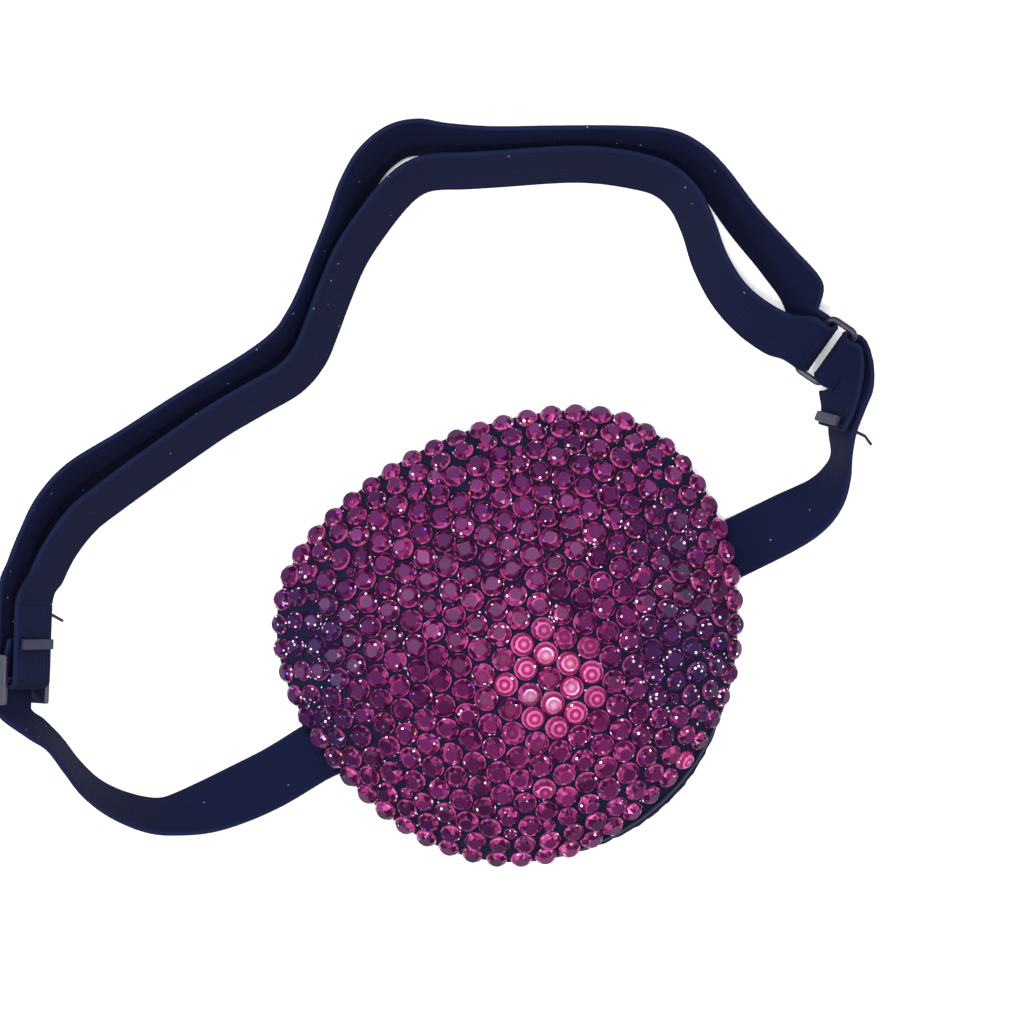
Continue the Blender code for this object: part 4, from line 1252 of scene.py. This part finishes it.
def fillGaps(flat, size, azimuth, rimRadius):
    # small stones wherever there is room for one, the widest gap first
    grid = np.arange(-44.0, 44.0, 0.5) * mm
    x, y = [side.ravel() for side in np.meshgrid(grid, grid)]
    most = np.interp(np.arctan2(x, -y) % (2.0 * pi), np.append(azimuth, 2.0 * pi),
                     np.append(rimRadius, rimRadius[0]))
    spots = np.stack([x, y], axis=-1)[np.hypot(x, y) < most]
    raised = lifted(spots)
    room = (np.linalg.norm(raised[:, None] - lifted(flat)[None, :], axis=-1) - size).min(axis=1)
    while room.max() > stoneSettings["smallFiller"] / 2.0:
        best = int(room.argmax())
        radius = min(room[best], stoneSettings["smallest"] / 2.0)
        flat = np.append(flat, spots[best:best + 1], axis=0)
        size = np.append(size, radius)
        room = np.minimum(room, np.linalg.norm(raised - raised[best], axis=-1) - radius)
    return flat, size


def lifted(flat):
    return np.concatenate([flat, seatHeight(flat[:, 0], flat[:, 1])[:, None]], axis=1)


def nearestGaps(flat):
    spots = lifted(flat)
    apart = np.linalg.norm(spots[:, None] - spots[None, :], axis=-1)
    np.fill_diagonal(apart, 1.0)
    return apart.min(axis=1)


def easeApart(free, fixed, azimuth, limitRadius):
    wanted = stoneSettings["spacing"] * 1.02
    for turn in range(stoneSettings["relaxRounds"]):
        spots = lifted(np.concatenate([free, fixed]))
        apart = spots[:len(free), None] - spots[None, :]
        distance = np.linalg.norm(apart, axis=-1) + 1e-9
        push = np.clip(wanted - distance, 0.0, None)
        push[np.arange(len(free)), np.arange(len(free))] = 0.0
        free = free + 0.35 * (apart[..., :2] / distance[..., None] * push[..., None]).sum(axis=1)
        angle = np.arctan2(free[:, 0], -free[:, 1]) % (2.0 * pi)
        most = np.interp(angle, np.append(azimuth, 2.0 * pi), np.append(limitRadius, limitRadius[0]))
        far = np.hypot(free[:, 0], free[:, 1])
        free = free * np.minimum(1.0, most / np.maximum(far, 1e-9))[:, None]
    return free


def nearness(flat, spots):
    # 0 to 1: how near each place is to the listed spots
    value = np.zeros(len(flat))
    for x, y, size, strength in spots:
        away = np.hypot(flat[:, 0] - x * mm, flat[:, 1] - y * mm) / (size * mm)
        value = np.maximum(value, strength * np.exp(-away ** 2))
    return value


def crownArcOf(flat):
    shares = np.linspace(0.0, 1.0, 60)
    x, y = flat[:, 0, None] * shares, flat[:, 1, None] * shares
    z = seatHeight(x, y)
    return np.sqrt(np.diff(x) ** 2 + np.diff(y) ** 2 + np.diff(z) ** 2).sum(axis=1)


def makeStones():
    flat, size, rimCount, draw = stonePlaces()
    count = len(flat)
    normals = seatNormal(flat[:, 0], flat[:, 1])
    # painted glow of each stone, from its place on the patch
    paintedGlow = np.clip(nearness(flat, stoneSettings["paintedFlash"]) + nearness(flat, stoneSettings["paintedGlowPools"]), 0.0, 1.0)
    # painted shade zones on the dome's flanks; the stones there also tilt more
    paintedShadeZone = nearness(flat, stoneSettings["paintedShadeZone"])
    # painted light: 0 low on the patch, 1 toward the upper edge, paling the tables
    paintedSideLight = 1.0 / (1.0 + np.exp(-(flat[:, 1] / mm - 9.0) / 3.5))
    tone = draw.random(count)
    size *= 1.0 - 0.03 * draw.random(count)
    tilt = np.radians(stoneSettings["tilt"] + (stoneSettings["roughTilt"] - stoneSettings["tilt"]) * paintedShadeZone)
    lean = draw.normal(0.0, 1.0, (count, 2)) * tilt[:, None] * 0.6
    spin = draw.random(count) * pi / 4.0
    places = lifted(flat) - normals * stoneSettings["sunk"]
    turns = []
    for k in range(count):
        upright = Vector(normals[k]).to_track_quat("Z", "Y")
        tipped = Euler((lean[k, 0], lean[k, 1], 0.0)).to_quaternion()
        spun = Euler((0.0, 0.0, spin[k])).to_quaternion()
        turns.append(tuple((upright @ tipped @ spun).to_euler()))
    spreads = np.stack([size, size, stoneSettings["height"] * np.clip(size / (1.9 * mm), 0.6, 1.0)
                        * (0.92 + 0.1 * draw.random(count))], axis=-1)
    arc = crownArcOf(flat)
    row = np.where(arc < stoneSettings["crownArc"], 0,
                   1 + (arc - stoneSettings["crownArc"]) // stoneSettings["rowArc"])
    row = np.minimum(row, stoneSettings["rows"]).astype(int)
    shape = stoneShape()
    for number in range(stoneSettings["rows"] + 1):
        chosen = np.flatnonzero(row == number)
        name = f"crystalRow{number:02d}" if number else "crownCrystals"
        made = setOnPoints(name, places[chosen], np.array(turns)[chosen], spreads[chosen], shape, 1.0,
                           5 + number, stoneStuff,
                           {"gemTone": tone[chosen], "gemGlow": paintedGlow[chosen], "gemCool": paintedShadeZone[chosen],
                            "gemDusk": paintedSideLight[chosen]})
        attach(made, "patch")
        stands = [f"crystal_row_{number:02d}"] if number else [f"crown_crystal_{k}" for k in range(7)]
        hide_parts(*stands)
    bpy.data.objects.remove(shape, do_unlink=True)
    report(f"{count} stones, {rimCount} on the rim")


makeStones()

for name in ("strap_ring", "slider_frame"):
    nodes[name].data.materials.clear()
    nodes[name].data.materials.append(darkMetal)
for name in ("left_bar_tack", "right_bar_tack", "tab_bar_tack", "sewn_end_bar_tack", "tab_thread",
             "sewn_end_thread", "rim_stitching"):
    nodes[name].data.materials.clear()
    nodes[name].data.materials.append(thread)

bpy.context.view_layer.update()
report("done")
